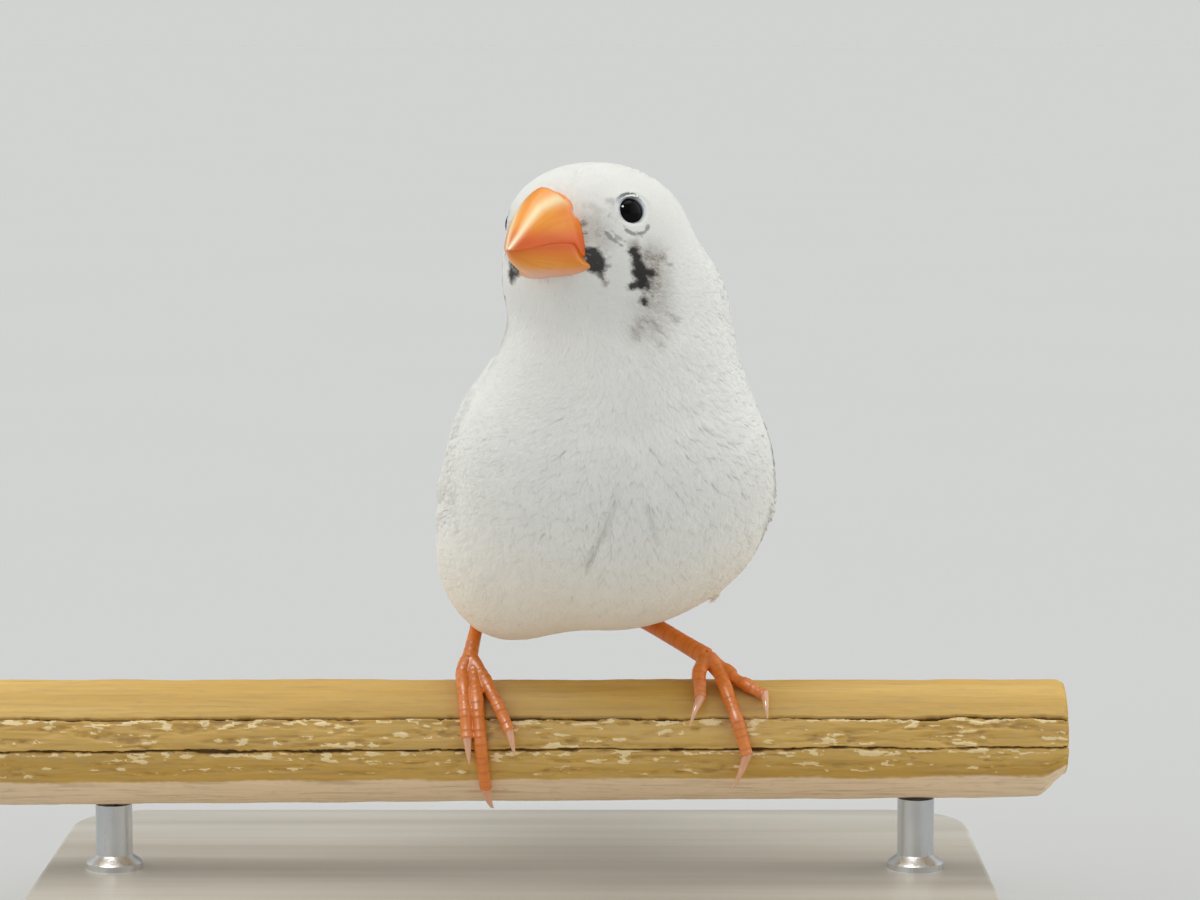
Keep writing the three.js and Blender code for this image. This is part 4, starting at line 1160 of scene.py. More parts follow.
# Tiers of feathers, front tier first: how many, where the lowest and the highest are rooted, their
# lengths, how far they fall away from the wing's line, their width, how high they lie, and whether
# the tier starts half a feather further up.
WING_TIERS = (
    {"name": "lesser", "count": 9, "along": (-1.5, -0.5), "up": (-6.0, 9.0), "length": (4.6, 4.4),
     "fall": (14, -6), "width": 2.7, "lift": 0.12, "row": 0},
    {"name": "lesser", "count": 9, "along": (0.6, 1.6), "up": (-5.4, 8.8), "length": (5.0, 4.8),
     "fall": (12, -6), "width": 2.8, "lift": 0.2, "row": 1},
    {"name": "lesser", "count": 9, "along": (2.8, 3.9), "up": (-4.8, 8.6), "length": (5.4, 5.2),
     "fall": (9, -5), "width": 2.9, "lift": 0.28, "row": 0},
    {"name": "median", "count": 9, "along": (4.6, 6.2), "up": (-4.0, 8.4), "length": (7.2, 7.4),
     "fall": (6, -5), "width": 3.0, "lift": 0.34, "row": 0},
    {"name": "greater", "count": 10, "along": (8.5, 10.4), "up": (-3.8, 8.0), "length": (9.4, 9.8),
     "fall": (4, -4), "width": 3.0, "lift": 0.3, "row": 0},
    {"name": "tertial", "count": 3, "along": (13, 15), "up": (4.4, 9.0), "length": (19.5, 13.5),
     "fall": (0, -1), "width": 5.2, "lift": 0.34, "row": 0},
    {"name": "secondary", "count": 7, "along": (13, 15), "up": (-3.4, 3.6), "length": (18, 20.5),
     "fall": (2, -1), "width": 3.6, "lift": 0.12, "row": 0},
    {"name": "primary", "count": 8, "along": (15, 19), "up": (-4.0, -0.2), "length": (19, 34.5),
     "fall": (2.5, -1), "width": 3.0, "lift": -0.08, "row": 0},
)
TAIL = {
    "root": (0, 31, 22), "pitch": 18, "pairs": 6, "length": 38, "outer_shorter": 3.2,
    "root_spacing": 0.36, "fan": 0.62, "drop": 0.21, "half_width": 2.9,
}
WING_PLACE = placement(WING["origin"], 0, -WING["pitch"], 0)
wing_out = smooth_curve(WING["along"], WING["out"])
wing_reach = smooth_curve(WING["along"], WING["reach"])


def wing_height(along, up):
    """How high the wing lies over the body: buried at its front and beside the flank."""
    from_front = smoothstep(along, -3, 5)
    from_below = np.maximum(smoothstep(up, -8, -4), smoothstep(along, 13, 22))
    return lerp(WING["sunk"], WING["proud"], np.minimum(from_front, from_below))


def wing_points(side, along, up, lift, torso):
    """Points on the wing, in the bird's frame. `side` is 1 for the left wing."""
    reach = wing_reach(along)
    rounded = np.sqrt(np.maximum(0.04, 1 - (up / reach) ** 2))
    nothing = np.zeros_like(along)
    inner = np.stack([nothing, along, up * 0.35], axis=1)
    outer = np.stack([wing_out(along) * rounded * side, along, up], axis=1)
    place = BODY_PLACE @ WING_PLACE
    inner, outer = moved(place, inner), moved(place, outer)
    ray = outer - inner
    form = np.linalg.norm(ray, axis=1)
    ray = unit(ray)
    body = np.zeros_like(form)
    for i, (start, way) in enumerate(zip(to_stand(inner).tolist(), ray.tolist())):
        hit = torso.ray_cast(start, way)
        if hit[0] is not None and hit[1].dot(Vector(way)) > 0:
            body[i] = hit[3] / MM
    body = body + wing_height(along, up)
    blend = np.maximum(0, WING["melt"] - np.abs(form - body)) / WING["melt"]
    out = np.maximum(form, body) + blend**2 * WING["melt"] / 4
    on_back = np.minimum(out, body - wing_height(along, up) + WING["tuck_height"])
    slid = up + WING["slide"] * smoothstep(along, 12, 26) * (1 - smoothstep(along, 34, 43))
    out = lerp(out, on_back, smoothstep(slid, *WING["tuck"]))
    return inner + ray * (out + lift)[:, None]


def vane_width(share, tip):
    """How wide a feather is along its length. `tip` is the share where its end starts to round."""
    quill = smoothstep(share, -0.25, 0.3)
    end = np.clip((share - tip) / (1.002 - tip), 0, 1)
    return quill * np.sqrt(np.maximum(0, 1 - end**2.2))


def shaft_at(along, across, half_width, sizes):
    """How far a feather's shaft stands up. It thins out towards the tip."""
    return sizes.shaft_rise / MM * np.exp(-((across / half_width) ** 2)) * (1 - along * 0.6)


def thin_piece(name, rows, columns, place, thickness, tone):
    """A thin closed sheet; place(along, across) gives its middle's points in the bird's frame."""
    piece = grid_piece(name, rows, columns, lambda along, across: to_stand(place(along, across)))
    piece.data.uv_layers[0].name = "Vane"
    apply_modifier(piece, "SOLIDIFY", thickness=thickness, offset=0.0)
    tag(piece, "feather_tone", np.full(len(piece.data.vertices), tone))
    return piece


def vane_piece(place, rows, sizes, number):
    """A vane, with a tone of its own; place(along, across) has its shaft where across is 0."""
    tone = (number * 0.618) % 1.0
    return thin_piece("vane", rows, 8, lambda a, b: place(a, b * 2 - 1), sizes.thickness, tone)


def wing_feather(side, torso, tier, share, number, sizes):
    """One wing feather, its lower edge over the feather below it."""
    along0 = lerp(*tier["along"], share)
    up0 = lerp(*tier["up"], share)
    length = lerp(*tier["length"], share)
    fall = math.radians(lerp(*tier["fall"], share))
    primary = tier["name"] in ("primary", "secondary")
    tip = 0.72 if primary else 0.6
    sway = 0.25 * math.sin(number * 2.4)

    def place(along, across):
        half = tier["width"] / 2 * np.maximum(0.1, vane_width(along, tip))
        middle_along = along0 + length * along * math.cos(fall)
        middle_up = up0 - length * along * math.sin(fall) + sway * along
        pointed = across**2 * half * 0.35 * smoothstep(along, 0.5, 1)
        lift = lerp(-0.5, tier["lift"], smoothstep(along, 0, 0.4)) - across * 0.2
        shaft = shaft_at(along, across, 0.12, sizes)
        rounding = -0.16 * across**2
        return wing_points(
            side, middle_along - pointed, middle_up + across * half, lift + shaft + rounding, torso
        )

    return vane_piece(place, 16 if primary else 10, sizes, number)


def wing_pad(side, torso):
    """The smooth base of the wing, under its front feathers."""

    def place(along, across):
        where = lerp(-3.2, 26, along)
        swell = np.sin(np.pi * np.clip(lerp(0.1, 0.93, along), 0, 1)) ** 0.6
        up = lerp(-8.5, 10, 0.5 + (across - 0.5) * swell)
        rim = np.abs(across * 2 - 1) ** 6
        return wing_points(side, where, up, -0.35 - 0.9 * rim, torso)

    return thin_piece("pad", 26, 18, place, 0.4 * MM, 0.5)


class FINCH_OT_wings(bpy.types.Operator):
    """Lays both wings' feathers tier over tier"""

    bl_idname = "finch.wings"
    bl_label = "Wings"

    def execute(self, context):
        sizes = context.scene.finch_wings
        torso = search_tree(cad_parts["torso"])
        for name, side in (("left", 1), ("right", -1)):
            pieces = [wing_pad(side, torso)]
            number = 0
            for tier in WING_TIERS:
                for i in range(tier["count"]):
                    number += 1
                    share = (i + 0.5 * tier["row"]) / (tier["count"] - 1 + 0.5 * tier["row"])
                    pieces.append(wing_feather(side, torso, tier, share, number, sizes))
            wing = joined(f"wing_feathers_{name}", pieces)
            finish_piece(wing, vane_material(context.scene), (f"wing_{name}",), 50)
        return {"FINISHED"}


class FINCH_OT_tail(bpy.types.Operator):
    """Lays the tail's feathers in pairs, the middle pair on top"""

    bl_idname = "finch.tail"
    bl_label = "Tail"

    def execute(self, context):
        sizes = context.scene.finch_wings
        tail_place = BODY_PLACE @ placement(TAIL["root"], 0, TAIL["pitch"], 0)
        pieces = []
        for side in (1, -1):
            for pair in range(TAIL["pairs"]):
                pieces.append(self.feather(tail_place, side, pair, sizes))
        tail = joined("tail_feathers", pieces)
        finish_piece(tail, vane_material(context.scene), ("tail",), 50)
        return {"FINISHED"}

    @staticmethod
    def feather(tail_place, side, pair, sizes):
        angle = math.radians(TAIL["fan"] * (pair + 0.5)) * side
        root = TAIL["root_spacing"] * (pair + 0.5) * side
        length = TAIL["length"] - TAIL["outer_shorter"] * (pair / (TAIL["pairs"] - 1)) ** 2
        level = -TAIL["drop"] * (pair + (0 if side > 0 else 0.5))

        def place(along, across):
            half = TAIL["half_width"] * np.maximum(0.1, vane_width(along, 0.8))
            reach = lerp(-5.0, length, along)
            x = root + math.sin(angle) * np.maximum(reach, 0) + across * half
            z = level - 0.28 * across**2 - 0.06 * across * side + shaft_at(along, across, 0.1, sizes)
            y = reach - across**2 * half * 0.3 * smoothstep(along, 0.6, 1)
            return moved(tail_place, np.stack([x, y, z], axis=1))

        return vane_piece(place, 20, sizes, pair * 2 + (side > 0))


def vane_material(scene):
    """White vanes with fine slanting barbs and a pale shaft."""
    if "Vane" in bpy.data.materials:
        return bpy.data.materials["Vane"]
    sizes = scene.finch_wings
    material, tree, shader = new_material("Vane", roughness=0.6, Sheen_Weight=0.1)
    uv = node(tree, "ShaderNodeUVMap", uv_map="Vane").outputs[0]
    parts = node(tree, "ShaderNodeSeparateXYZ", {0: uv})
    along, across = parts.outputs[0], parts.outputs[1]
    from_shaft = sums(tree, "ABSOLUTE", sums(tree, "SUBTRACT", across, 0.5))
    lean = sums(tree, "MULTIPLY", from_shaft, 3.0)
    slanted = sums(tree, "SUBTRACT", sums(tree, "MULTIPLY", along, 12.0), lean)
    barbs = sums(tree, "SINE", sums(tree, "MULTIPLY", slanted, sizes.barbs * 2 * math.pi))
    height = ranged(tree, barbs, -1, 1)
    near_shaft = ranged(tree, from_shaft, 0.02, 0.06, 1.0, 0.0)
    tone = mixed(tree, attribute(tree, "feather_tone"), sizes.vane, (0.80, 0.795, 0.77))
    lined = mixed(tree, sums(tree, "MULTIPLY", height, 0.10), tone, (0.60, 0.59, 0.56))
    shaft = sums(tree, "MULTIPLY", near_shaft, 0.5)
    colour_from(tree, shader, mixed(tree, shaft, lined, (0.72, 0.66, 0.55)))
    bumped(tree, shader, height, 0.35, 0.00006)
    return material


# Bill


# The bill in the head's frame. Heights are from the mouth line at the tip.
BILL = {
    "root": -4.4, "tip": -16.1, "tip_height": -1.5, "upper_height": 7.3, "lower_depth": 2.3,
    "upper_half": 4.1, "lower_half": 3.8, "jaw_flare": 1.4, "mouth_arch": 0.75, "gape_drop": 1.3,
    "jaw_drop": 0.25,
}
NOSTRIL = (3.24, -7.52, 2.71)
# A pale streak on the left of the ridge, from the tip to the root: partly the ridge's pale horn and
# partly a painted highlight. The right side has one too.
RIDGE_PALE_AND_HIGHLIGHT = (
    (0.2, -15.9, -1.2), (0.7, -14.7, 0.2), (1.0, -13.6, 1.4), (1.4, -11.8, 3.0), (2.2, -9.6, 3.9),
    (2.1, -8.5, 3.9),
)


def swelling(share, speed, power):
    """How much of its full size a mandible has reached, rising steeply from the tip."""
    return np.sin(np.pi / 2 * np.minimum(1, share * speed)) ** power


def mandible(name, upper):
    """One mandible: arched on one side, nearly flat on the other, and rooted inside the head."""
    sign = 1 if upper else -1
    first = 0.0 if upper else 0.04

    def place(along, across):
        grown = np.maximum(0.004, along**1.5)
        share = lerp(first, 1, grown)
        arch = BILL["mouth_arch"] * smoothstep(share, 0, 0.45)
        gape = BILL["gape_drop"] * smoothstep(share, 0.58, 0.7)
        base = BILL["tip_height"] + arch - gape
        if upper:
            half = BILL["upper_half"] * swelling(grown, 1.2, 0.75)
            height = BILL["upper_height"] * swelling(grown, 1, 0.88)
            steepness = 0.92
        else:
            half = BILL["lower_half"] * swelling(grown, 1.3, 0.7)
            drop = BILL["jaw_drop"] * smoothstep(share, 0.4, 0.8)
            depth = BILL["lower_depth"] * swelling(grown, 2.2, 0.8) + drop
            underside = BILL["tip_height"] - depth
            height = np.maximum(0.05, base - underside)
            steepness = lerp(0.95, 0.5, smoothstep(share, 0.3, 0.8))
        angle = across * 2 * np.pi
        bulge = np.sin(angle)
        over = np.maximum(bulge, 0)
        under = np.minimum(bulge, 0)
        if not upper:
            half = half + BILL["jaw_flare"] * smoothstep(share, 0.5, 0.78) * smoothstep(over, 0.05, 0.7)
        x = half * np.sign(np.cos(angle)) * np.abs(np.cos(angle)) ** steepness
        ridge = 1.0 + (0.03 if upper else -0.02) * np.exp(-((x / 0.9) ** 2))
        z = base + sign * (0.05 + height * over * ridge + 0.35 * under * np.minimum(1, grown * 6))
        y = lerp(BILL["tip"], BILL["root"], share)
        closed = inside_ends(along)
        middle = base + sign * height * 0.3
        x, z = x * closed, np.where(closed, z, middle)
        return to_stand(moved(HEAD_PLACE, np.stack([x, y, z], axis=1)))

    piece = grid_piece(name, 64, 80, place)
    piece.data.uv_layers[0].name = "Horn"
    close_seams(piece, WIDE_SEAM)
    return piece


class FINCH_OT_bill(bpy.types.Operator):
    """Makes the upper and the lower mandible, with nostrils at the upper one's root"""

    bl_idname = "finch.bill"
    bl_label = "Bill"

    def execute(self, context):
        for upper in (True, False):
            node_name = "bill_upper" if upper else "bill_lower"
            piece = mandible(f"{node_name}_horn", upper)
            head = to_head(vertices_of(piece))
            mirrored = to_left(head)
            pit = np.zeros(len(head))
            if upper:
                away = (mirrored - np.array(NOSTRIL)) / (0.7, 0.55, 0.6)
                pit = np.exp(-np.sum(away**2, axis=1))
                shape(piece, vertices_of(piece) - normals_of(piece) * (pit * 0.4 * MM)[:, None])
            tag(piece, "nostril", pit)
            tag(piece, "towards_head", smoothstep(head[:, 1], -14.5, -6.5))
            mouth = BILL["tip_height"] + BILL["mouth_arch"] * smoothstep(-head[:, 1], -16.1, -11)
            tag(piece, "from_mouth", smoothstep(np.abs(head[:, 2] - mouth), 0, 2.4))
            # The pale ridge with a painted highlight beside it, on the upper mandible only.
            spread = lerp(0.3, 0.75, smoothstep(head[:, 1], -16, -9))
            streak = distance_to_line(mirrored, RIDGE_PALE_AND_HIGHLIGHT) / spread
            tag(piece, "streak", np.exp(-(streak**2)) * upper)
            chin = 1 - smoothstep(head[:, 2], BILL["tip_height"] - 2.3, BILL["tip_height"] - 1.5)
            tag(piece, "chin", chin * (not upper))
            finish_piece(piece, self.material(context.scene, upper), (node_name,))
        return {"FINISHED"}

    @staticmethod
    def material(scene, upper):
        colours = scene.finch_head
        material, tree, shader = new_material(
            "Bill upper" if upper else "Bill lower", roughness=0.36, Coat_Weight=0.16, Coat_Roughness=0.16,
            Subsurface_Weight=0.12, Subsurface_Radius=(1.0, 0.35, 0.1), Subsurface_Scale=0.0012,
        )
        lit = colours.bill_lit if upper else colours.bill_lower
        deep = colours.bill_deep
        uv = node(tree, "ShaderNodeUVMap", uv_map="Horn").outputs[0]
        stretched = node(tree, "ShaderNodeMapping", {"Vector": uv, "Scale": (2.2, 34, 1)}).outputs[0]
        fibre = noise_at(tree, stretched, 1.0, detail=4.0, roughness=0.6)
        edge = mixed(tree, attribute(tree, "from_mouth"), deep, lit)
        rooted = laid_over(tree, "towards_head", edge, deep, 0.55 if upper else 0.15, low=0.3)
        fibrous = laid_over(tree, fibre, rooted, deep, 0.3, 0.42, 0.62)
        # The ridge's pale horn and a painted highlight beside it.
        streaked = laid_over(tree, "streak", fibrous, colours.bill_ridge_and_highlight, 0.85)
        pinkish = laid_over(tree, "chin", streaked, colours.bill_pink, 0.75)
        fleshy = laid_over(tree, "nostril", pinkish, colours.bill_pink, 1.0, 0.1, 0.5)
        # Painted shade deep in the nostril's pit.
        hollow_shade = laid_over(tree, "nostril", fleshy, (0.34, 0.07, 0.05), 1.0, 0.72)
        colour_from(tree, shader, toned(tree, hollow_shade, 420.0, 0.12))
        bumped(tree, shader, fibre, 0.25, 0.00008)
        return material


# Eyes


# The lid's section, as shares of the ball's radius: how far from the way it looks, and how high
# over the ball's middle. It runs from the opening over the folds and back under them.
LID_PROFILE = (
    (0.725, 0.665), (0.735, 0.735), (0.77, 0.785), (0.815, 0.80), (0.85, 0.785), (0.88, 0.775), (0.92, 0.80),
    (0.965, 0.785), (1.0, 0.755), (1.03, 0.76), (1.075, 0.74), (1.12, 0.69), (1.15, 0.62), (1.13, 0.5),
    (0.9, 0.48), (0.76, 0.55), (0.725, 0.665),
)


class FINCH_OT_eyes(bpy.types.Operator):
    """Sets a wet black ball and a ring of bare lid in each socket"""

    bl_idname = "finch.eyes"
    bl_label = "Eyes"

    def execute(self, context):
        ball_material = self.ball_material(context.scene)
        lid_material = self.lid_material(context.scene)
        for (middle, looks), name in zip(eye_middles(), ("left", "right")):
            low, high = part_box(f"eye_{name}")
            radius = (high - low)[2] / 2
            ball = primitive(
                f"eyeball_{name}", bpy.ops.mesh.primitive_uv_sphere_add,
                segments=64, ring_count=32, radius=radius, location=middle,
            )
            settle()
            finish_piece(ball, ball_material, (f"eye_{name}",))
            self.lid(name, middle, looks, radius, lid_material)
        return {"FINISHED"}

    @staticmethod
    def lid(name, middle, looks, radius, material):
        """A ring of folded bare skin: a profile turned round the way that the eye looks."""
        profile = np.array(LID_PROFILE) * radius
        turn = np.array(Vector(looks).to_track_quat("Z", "Y").to_matrix())

        def place(along, across):
            spot = across * (len(profile) - 1)
            low = np.minimum(spot.astype(int), len(profile) - 2)
            wide, high = lerp(profile[low], profile[low + 1], (spot - low)[:, None]).T
            spin = along * 2 * np.pi
            outer = smoothstep(wide / radius, 0.72, 0.9)
            wrinkle = np.sin(spin * 23 + 2 * np.cos(spin * 4)) * 0.5
            wrinkle = wrinkle + np.sin(spin * 41 + np.cos(spin * 7)) * 0.3
            high = high + wrinkle * outer * 0.03 * MM
            wide = wide + np.cos(spin * 3 + 0.7) * 0.02 * MM
            points = np.stack([wide * np.cos(spin), wide * np.sin(spin), high], axis=1)
            return points @ turn.T + middle

        ring = grid_piece(f"eye_ring_{name}", 120, 30, place)
        close_seams(ring)
        head = to_head(vertices_of(ring))
        tag(ring, "upper_side", smoothstep(head[:, 2], 3.1, 4.3))
        gap = np.linalg.norm(head - to_head([middle + looks * radius]), axis=1)
        tag(ring, "rim", 1 - smoothstep(gap, 1.42, 1.62))
        finish_piece(ring, material)

    @staticmethod
    def ball_material(scene):
        material, tree, shader = new_material("Eye", roughness=0.04, Specular_IOR_Level=0.08)
        colour_from(tree, shader, toned(tree, scene.finch_head.eye, 500.0, 0.5))
        return material

    @staticmethod
    def lid_material(scene):
        colours = scene.finch_head
        material, tree, shader = new_material("Lid", roughness=0.5)
        folds = noise_at(tree, object_place(tree), 2600.0, detail=5.0)
        skin = laid_over(tree, folds, colours.lid, (0.36, 0.39, 0.43), 0.3, 0.45, 0.7)
        shaded = mixed(tree, attribute(tree, "upper_side"), skin, colours.lid_shade)
        dark = laid_over(tree, "rim", shaded, colours.lid_shade, 0.5)
        colour_from(tree, shader, toned(tree, dark, 1500.0, 0.25))
        bumped(tree, shader, folds, 0.5, 0.0001)
        return material


# Legs, toes and claws


TOE = {"radius": 0.84, "tip": 0.66, "settle": 0.62, "gap": 0.3}
LEGS = {
    "right": {
        "heel": (-12.6, 8.6, 19), "joint": (-14.9, -0.4, 8.9), "waist": 0.72,
        "toes": {
            "outer": {"x": (-15.6, -14.95), "wrap": (6, 80), "claw": (-14.7, 22, 0.2)},
            "middle": {"x": (-14.4, -13.0), "wrap": (4, 127), "claw": (-12.2, 30, 0.5)},
            "inner": {"x": (-13.6, -10.4), "wrap": (8, 74), "claw": (-9.8, 20, 0.2)},
            "hind": {"x": (-14.6, -14.0), "wrap": (-14, -92), "claw": (-13.8, -42, 0.4)},
        },
    },
    "left": {
        "heel": (2.2, 10, 12.9), "joint": (10.9, -0.3, 9.1), "waist": 0.95,
        "toes": {
            "outer": {"x": (13.0, 17.1), "wrap": (2, 40), "claw": (17.4, 24, 0.4)},
            "middle": {"x": (12.2, 15.2), "wrap": (4, 94), "claw": (13.6, 32, 0.3)},
            "inner": {"x": (10.2, 10.2), "wrap": (8, 44), "claw": (9.0, 26, 0.2)},
            "hind": {"x": (10.4, 9.4), "wrap": (-14, -92), "claw": (9.0, -42, 0.4)},
        },
    },
}


def round_perch(x, angle, radius):
    """A point round the perch, its angle in degrees from the top towards the bird's front."""
    turn = math.radians(angle)
    return (x, -radius * math.sin(turn), radius * math.cos(turn))


def away_from_perch(middles):
    return unit(middles * (0, 1, 1))


def toe_path(joint, toe):
    path = [joint]
    count = 6
    for i in range(count):
        share = i / (count - 1)
        settle = lerp(1.5, TOE["settle"], float(smoothstep(share, 0, 0.3)))
        angle = lerp(toe["wrap"][0] + math.copysign(8, toe["wrap"][1]), toe["wrap"][1], share)
        radius = PERCH_RADIUS + settle * TOE["radius"] + TOE["gap"]
        path.append(round_perch(lerp(*toe["x"], share), angle, radius))
    return path


def path_length(path):
    return float(np.sum(np.linalg.norm(np.diff(np.asarray(path, float), axis=0), axis=1)))


def scute_count(share, length, scute):
    """How many scutes lie between a limb's start and a share of its length, unevenly long."""
    count = share * length / scute
    return count + 0.22 * np.sin(count * 2.3)


def scuted(share, length, scute, step):
    """The saw-toothed relief of overlapping scutes along a limb, in millimetres."""
    place = scute_count(share, length, scute)
    return step * (place - np.floor(place)) ** 1.6


class FINCH_OT_feet(bpy.types.Operator):
    """Makes each shank and its toes as one scaled skin"""

    bl_idname = "finch.feet"
    bl_label = "Legs and feet"

    def execute(self, context):
        sizes = context.scene.finch_feet
        scute, step = sizes.scute_length / MM, sizes.scute_step / MM
        for name, leg in LEGS.items():
            limbs = [self.shank(leg, scute, step)]
            for toe in leg["toes"].values():
                limbs.append(self.toe(leg, toe, scute, step))
            lines = [limb.pop("line") for limb in limbs]
            foot = joined(f"foot_skin_{name}", [limb["piece"] for limb in limbs])
            apply_modifier(foot, "REMESH", mode="VOXEL", voxel_size=0.085 * MM)
            apply_modifier(foot, "SMOOTH", factor=0.4, iterations=2)
            self.tag_creases(foot, lines, scute)
            finish_piece(foot, self.material(context.scene), (f"foot_{name}", f"leg_{name}"))
        return {"FINISHED"}

    @staticmethod
    def shank(leg, scute, step):
        heel, joint = np.array(leg["heel"], float), np.array(leg["joint"], float)
        front = np.cross(np.cross(joint - heel, (0, -1.0, 0.4)), joint - heel)
        path = [heel, lerp(heel, joint, 0.5), joint]
        length = path_length(path)

        def radius_at(share, angle):
            from_waist = np.abs(share - 0.6) / 0.6
            end = np.where(share < 0.6, 1.2, 1.32)
            radius = lerp(leg["waist"], end, np.minimum(1, from_waist) ** 3)
            ahead = smoothstep(np.cos(angle), -0.1, 0.4)
            return radius + ahead * 0.6 * (scuted(share, length, scute * 1.15, step) - step / 2)

        piece = tube_piece("shank", path, 170, 40, radius_at, lambda m: np.broadcast_to(front, m.shape))
        return {"piece": piece, "line": (path, scute * 1.15)}

    @staticmethod
    def toe(leg, toe, scute, step):
        path = toe_path(leg["joint"], toe)
        length = path_length(path)

        def radius_at(share, angle):
            pads = 0.5 - 0.5 * np.cos(2 * np.pi * 3.2 * share + 0.6)
            radius = lerp(TOE["radius"], TOE["tip"], share) - 0.04
            ahead = smoothstep(np.cos(angle), 0.0, 0.5)
            below = smoothstep(-np.cos(angle), 0.2, 0.7)
            knuckle = 0.11 * np.sin(2 * np.pi * 3.2 * share)
            relief = ahead * (scuted(share, length, scute, step) - step / 2)
            return radius + relief + knuckle * ahead + below * 0.16 * (pads - 0.4)

        piece = tube_piece("toe", path, 200, 36, radius_at, away_from_perch)
        return {"piece": piece, "line": (path, scute)}

    @staticmethod
    def tag_creases(foot, lines, scute):
        """Marks the thin creases where one scute ends and the next begins, and the toes' tips."""
        bird = to_bird(vertices_of(foot))
        best = np.full(len(bird), np.inf)
        crease = np.zeros(len(bird))
        tip = np.zeros(len(bird))
        for path, spacing in lines:
            shares = np.linspace(0, 1, 260)
            middles, _ = path_frames(path, shares)
            gaps = np.linalg.norm(bird[:, None] - middles[None], axis=2)
            index = np.argmin(gaps, axis=1)
            gap = gaps[np.arange(len(bird)), index]
            place = scute_count(shares[index], path_length(path), spacing)
            edge = np.abs(place - np.round(place))
            nearer = gap < best
            crease = np.where(nearer, 1 - smoothstep(edge, 0.03, 0.15), crease)
            is_toe = spacing == scute
            tip = np.where(nearer, shares[index] * is_toe, tip)
            best = np.minimum(best, gap)
        tag(foot, "crease", crease)
        tag(foot, "towards_tip", tip)

    @staticmethod
    def material(scene):
        if "Scuted skin" in bpy.data.materials:
            return bpy.data.materials["Scuted skin"]
        colours = scene.finch_feet
        material, tree, shader = new_material(
            "Scuted skin", roughness=0.42, Subsurface_Weight=0.12,
            Subsurface_Radius=(1.0, 0.3, 0.12), Subsurface_Scale=0.0008,
        )
        skin = toned(tree, colours.skin, 700.0, 0.5)
        paler = laid_over(tree, "towards_tip", skin, colours.pale, 0.55, low=0.5)
        patches = noise_at(tree, object_place(tree), 260.0, detail=2.0)
        flushed = laid_over(tree, patches, paler, (0.78, 0.25, 0.09), 0.4, 0.5, 0.7)
        colour_from(tree, shader, laid_over(tree, "crease", flushed, colours.crease, 0.3))
        bumped(tree, shader, noise_at(tree, object_place(tree), 4200.0), 0.35, 0.00008)
        return material


class FINCH_OT_claws(bpy.types.Operator):
    """Makes the eight curved claws"""

    bl_idname = "finch.claws"
    bl_label = "Claws"

    def execute(self, context):
        material = self.material(context.scene)
        for name, leg in LEGS.items():
            for toe_name, toe in leg["toes"].items():
                self.claw(f"{name}_{toe_name}", toe, material)
        return {"FINISHED"}

    @staticmethod
    def claw(name, toe, material):
        end_x, sweep, end_lift = toe["claw"]
        path = []
        count = 5
        for i in range(count):
            share = lerp(-0.12, 1, i / (count - 1))
            lift = end_lift * share + 0.35 * math.sin(math.pi * max(0, share))
            radius = PERCH_RADIUS + TOE["settle"] * TOE["radius"] + TOE["gap"] + lift
            angle = toe["wrap"][1] + sweep * share
            path.append(round_perch(lerp(toe["x"][1], end_x, share), angle, radius))

        def radius_at(share, angle):
            keeled = 1 + 0.14 * np.cos(angle) - 0.1 * np.abs(np.sin(angle))
            return lerp(0.56, 0.05, share**1.3) * keeled

        claw = tube_piece(f"claw_horn_{name}", path, 40, 24, radius_at, away_from_perch)
        bird = to_bird(vertices_of(claw))
        root, tip = np.array(path[0]), np.array(path[-1])
        along = np.linalg.norm(bird - root, axis=1) / np.linalg.norm(tip - root)
        tag(claw, "towards_tip", np.clip(along, 0, 1))
        finish_piece(claw, material, (f"claw_{name}",))

    @staticmethod
    def material(scene):
        colours = scene.finch_feet
        material, tree, shader = new_material(
            "Claw horn", roughness=0.3, Coat_Weight=0.4, Coat_Roughness=0.2, Subsurface_Weight=0.25,
            Subsurface_Radius=(1.0, 0.5, 0.3), Subsurface_Scale=0.0008,
        )
        tint = mixed(tree, attribute(tree, "towards_tip"), colours.claw, colours.claw_tip)
        colour_from(tree, shader, toned(tree, tint, 900.0, 0.3))
        return material


# Perch


# Cracks and gnawed bands round the perch, in degrees from its top towards the bird's front.
CRACKS = ((59, 1.0), (89, 1.0), (240, 0.7), (270, 0.8))
GNAWED_BANDS = ((60, 89, 1.0), (90, 117, 0.8), (240, 270, 0.8), (270, 300, 0.5), (28, 59, 0.1))
# Where the cut ends show the middle of the growth rings, and how wide a ring is.
PITH = (3.0, 19.0)
RING_WIDTH = 1.1
# How the mesh's columns are spread round it, closest where it is gnawed: shares and degrees.
COLUMN_SPREAD = ((0, 0.09, 0.55, 0.64, 0.86, 1), (0, 48, 130, 230, 305, 360))


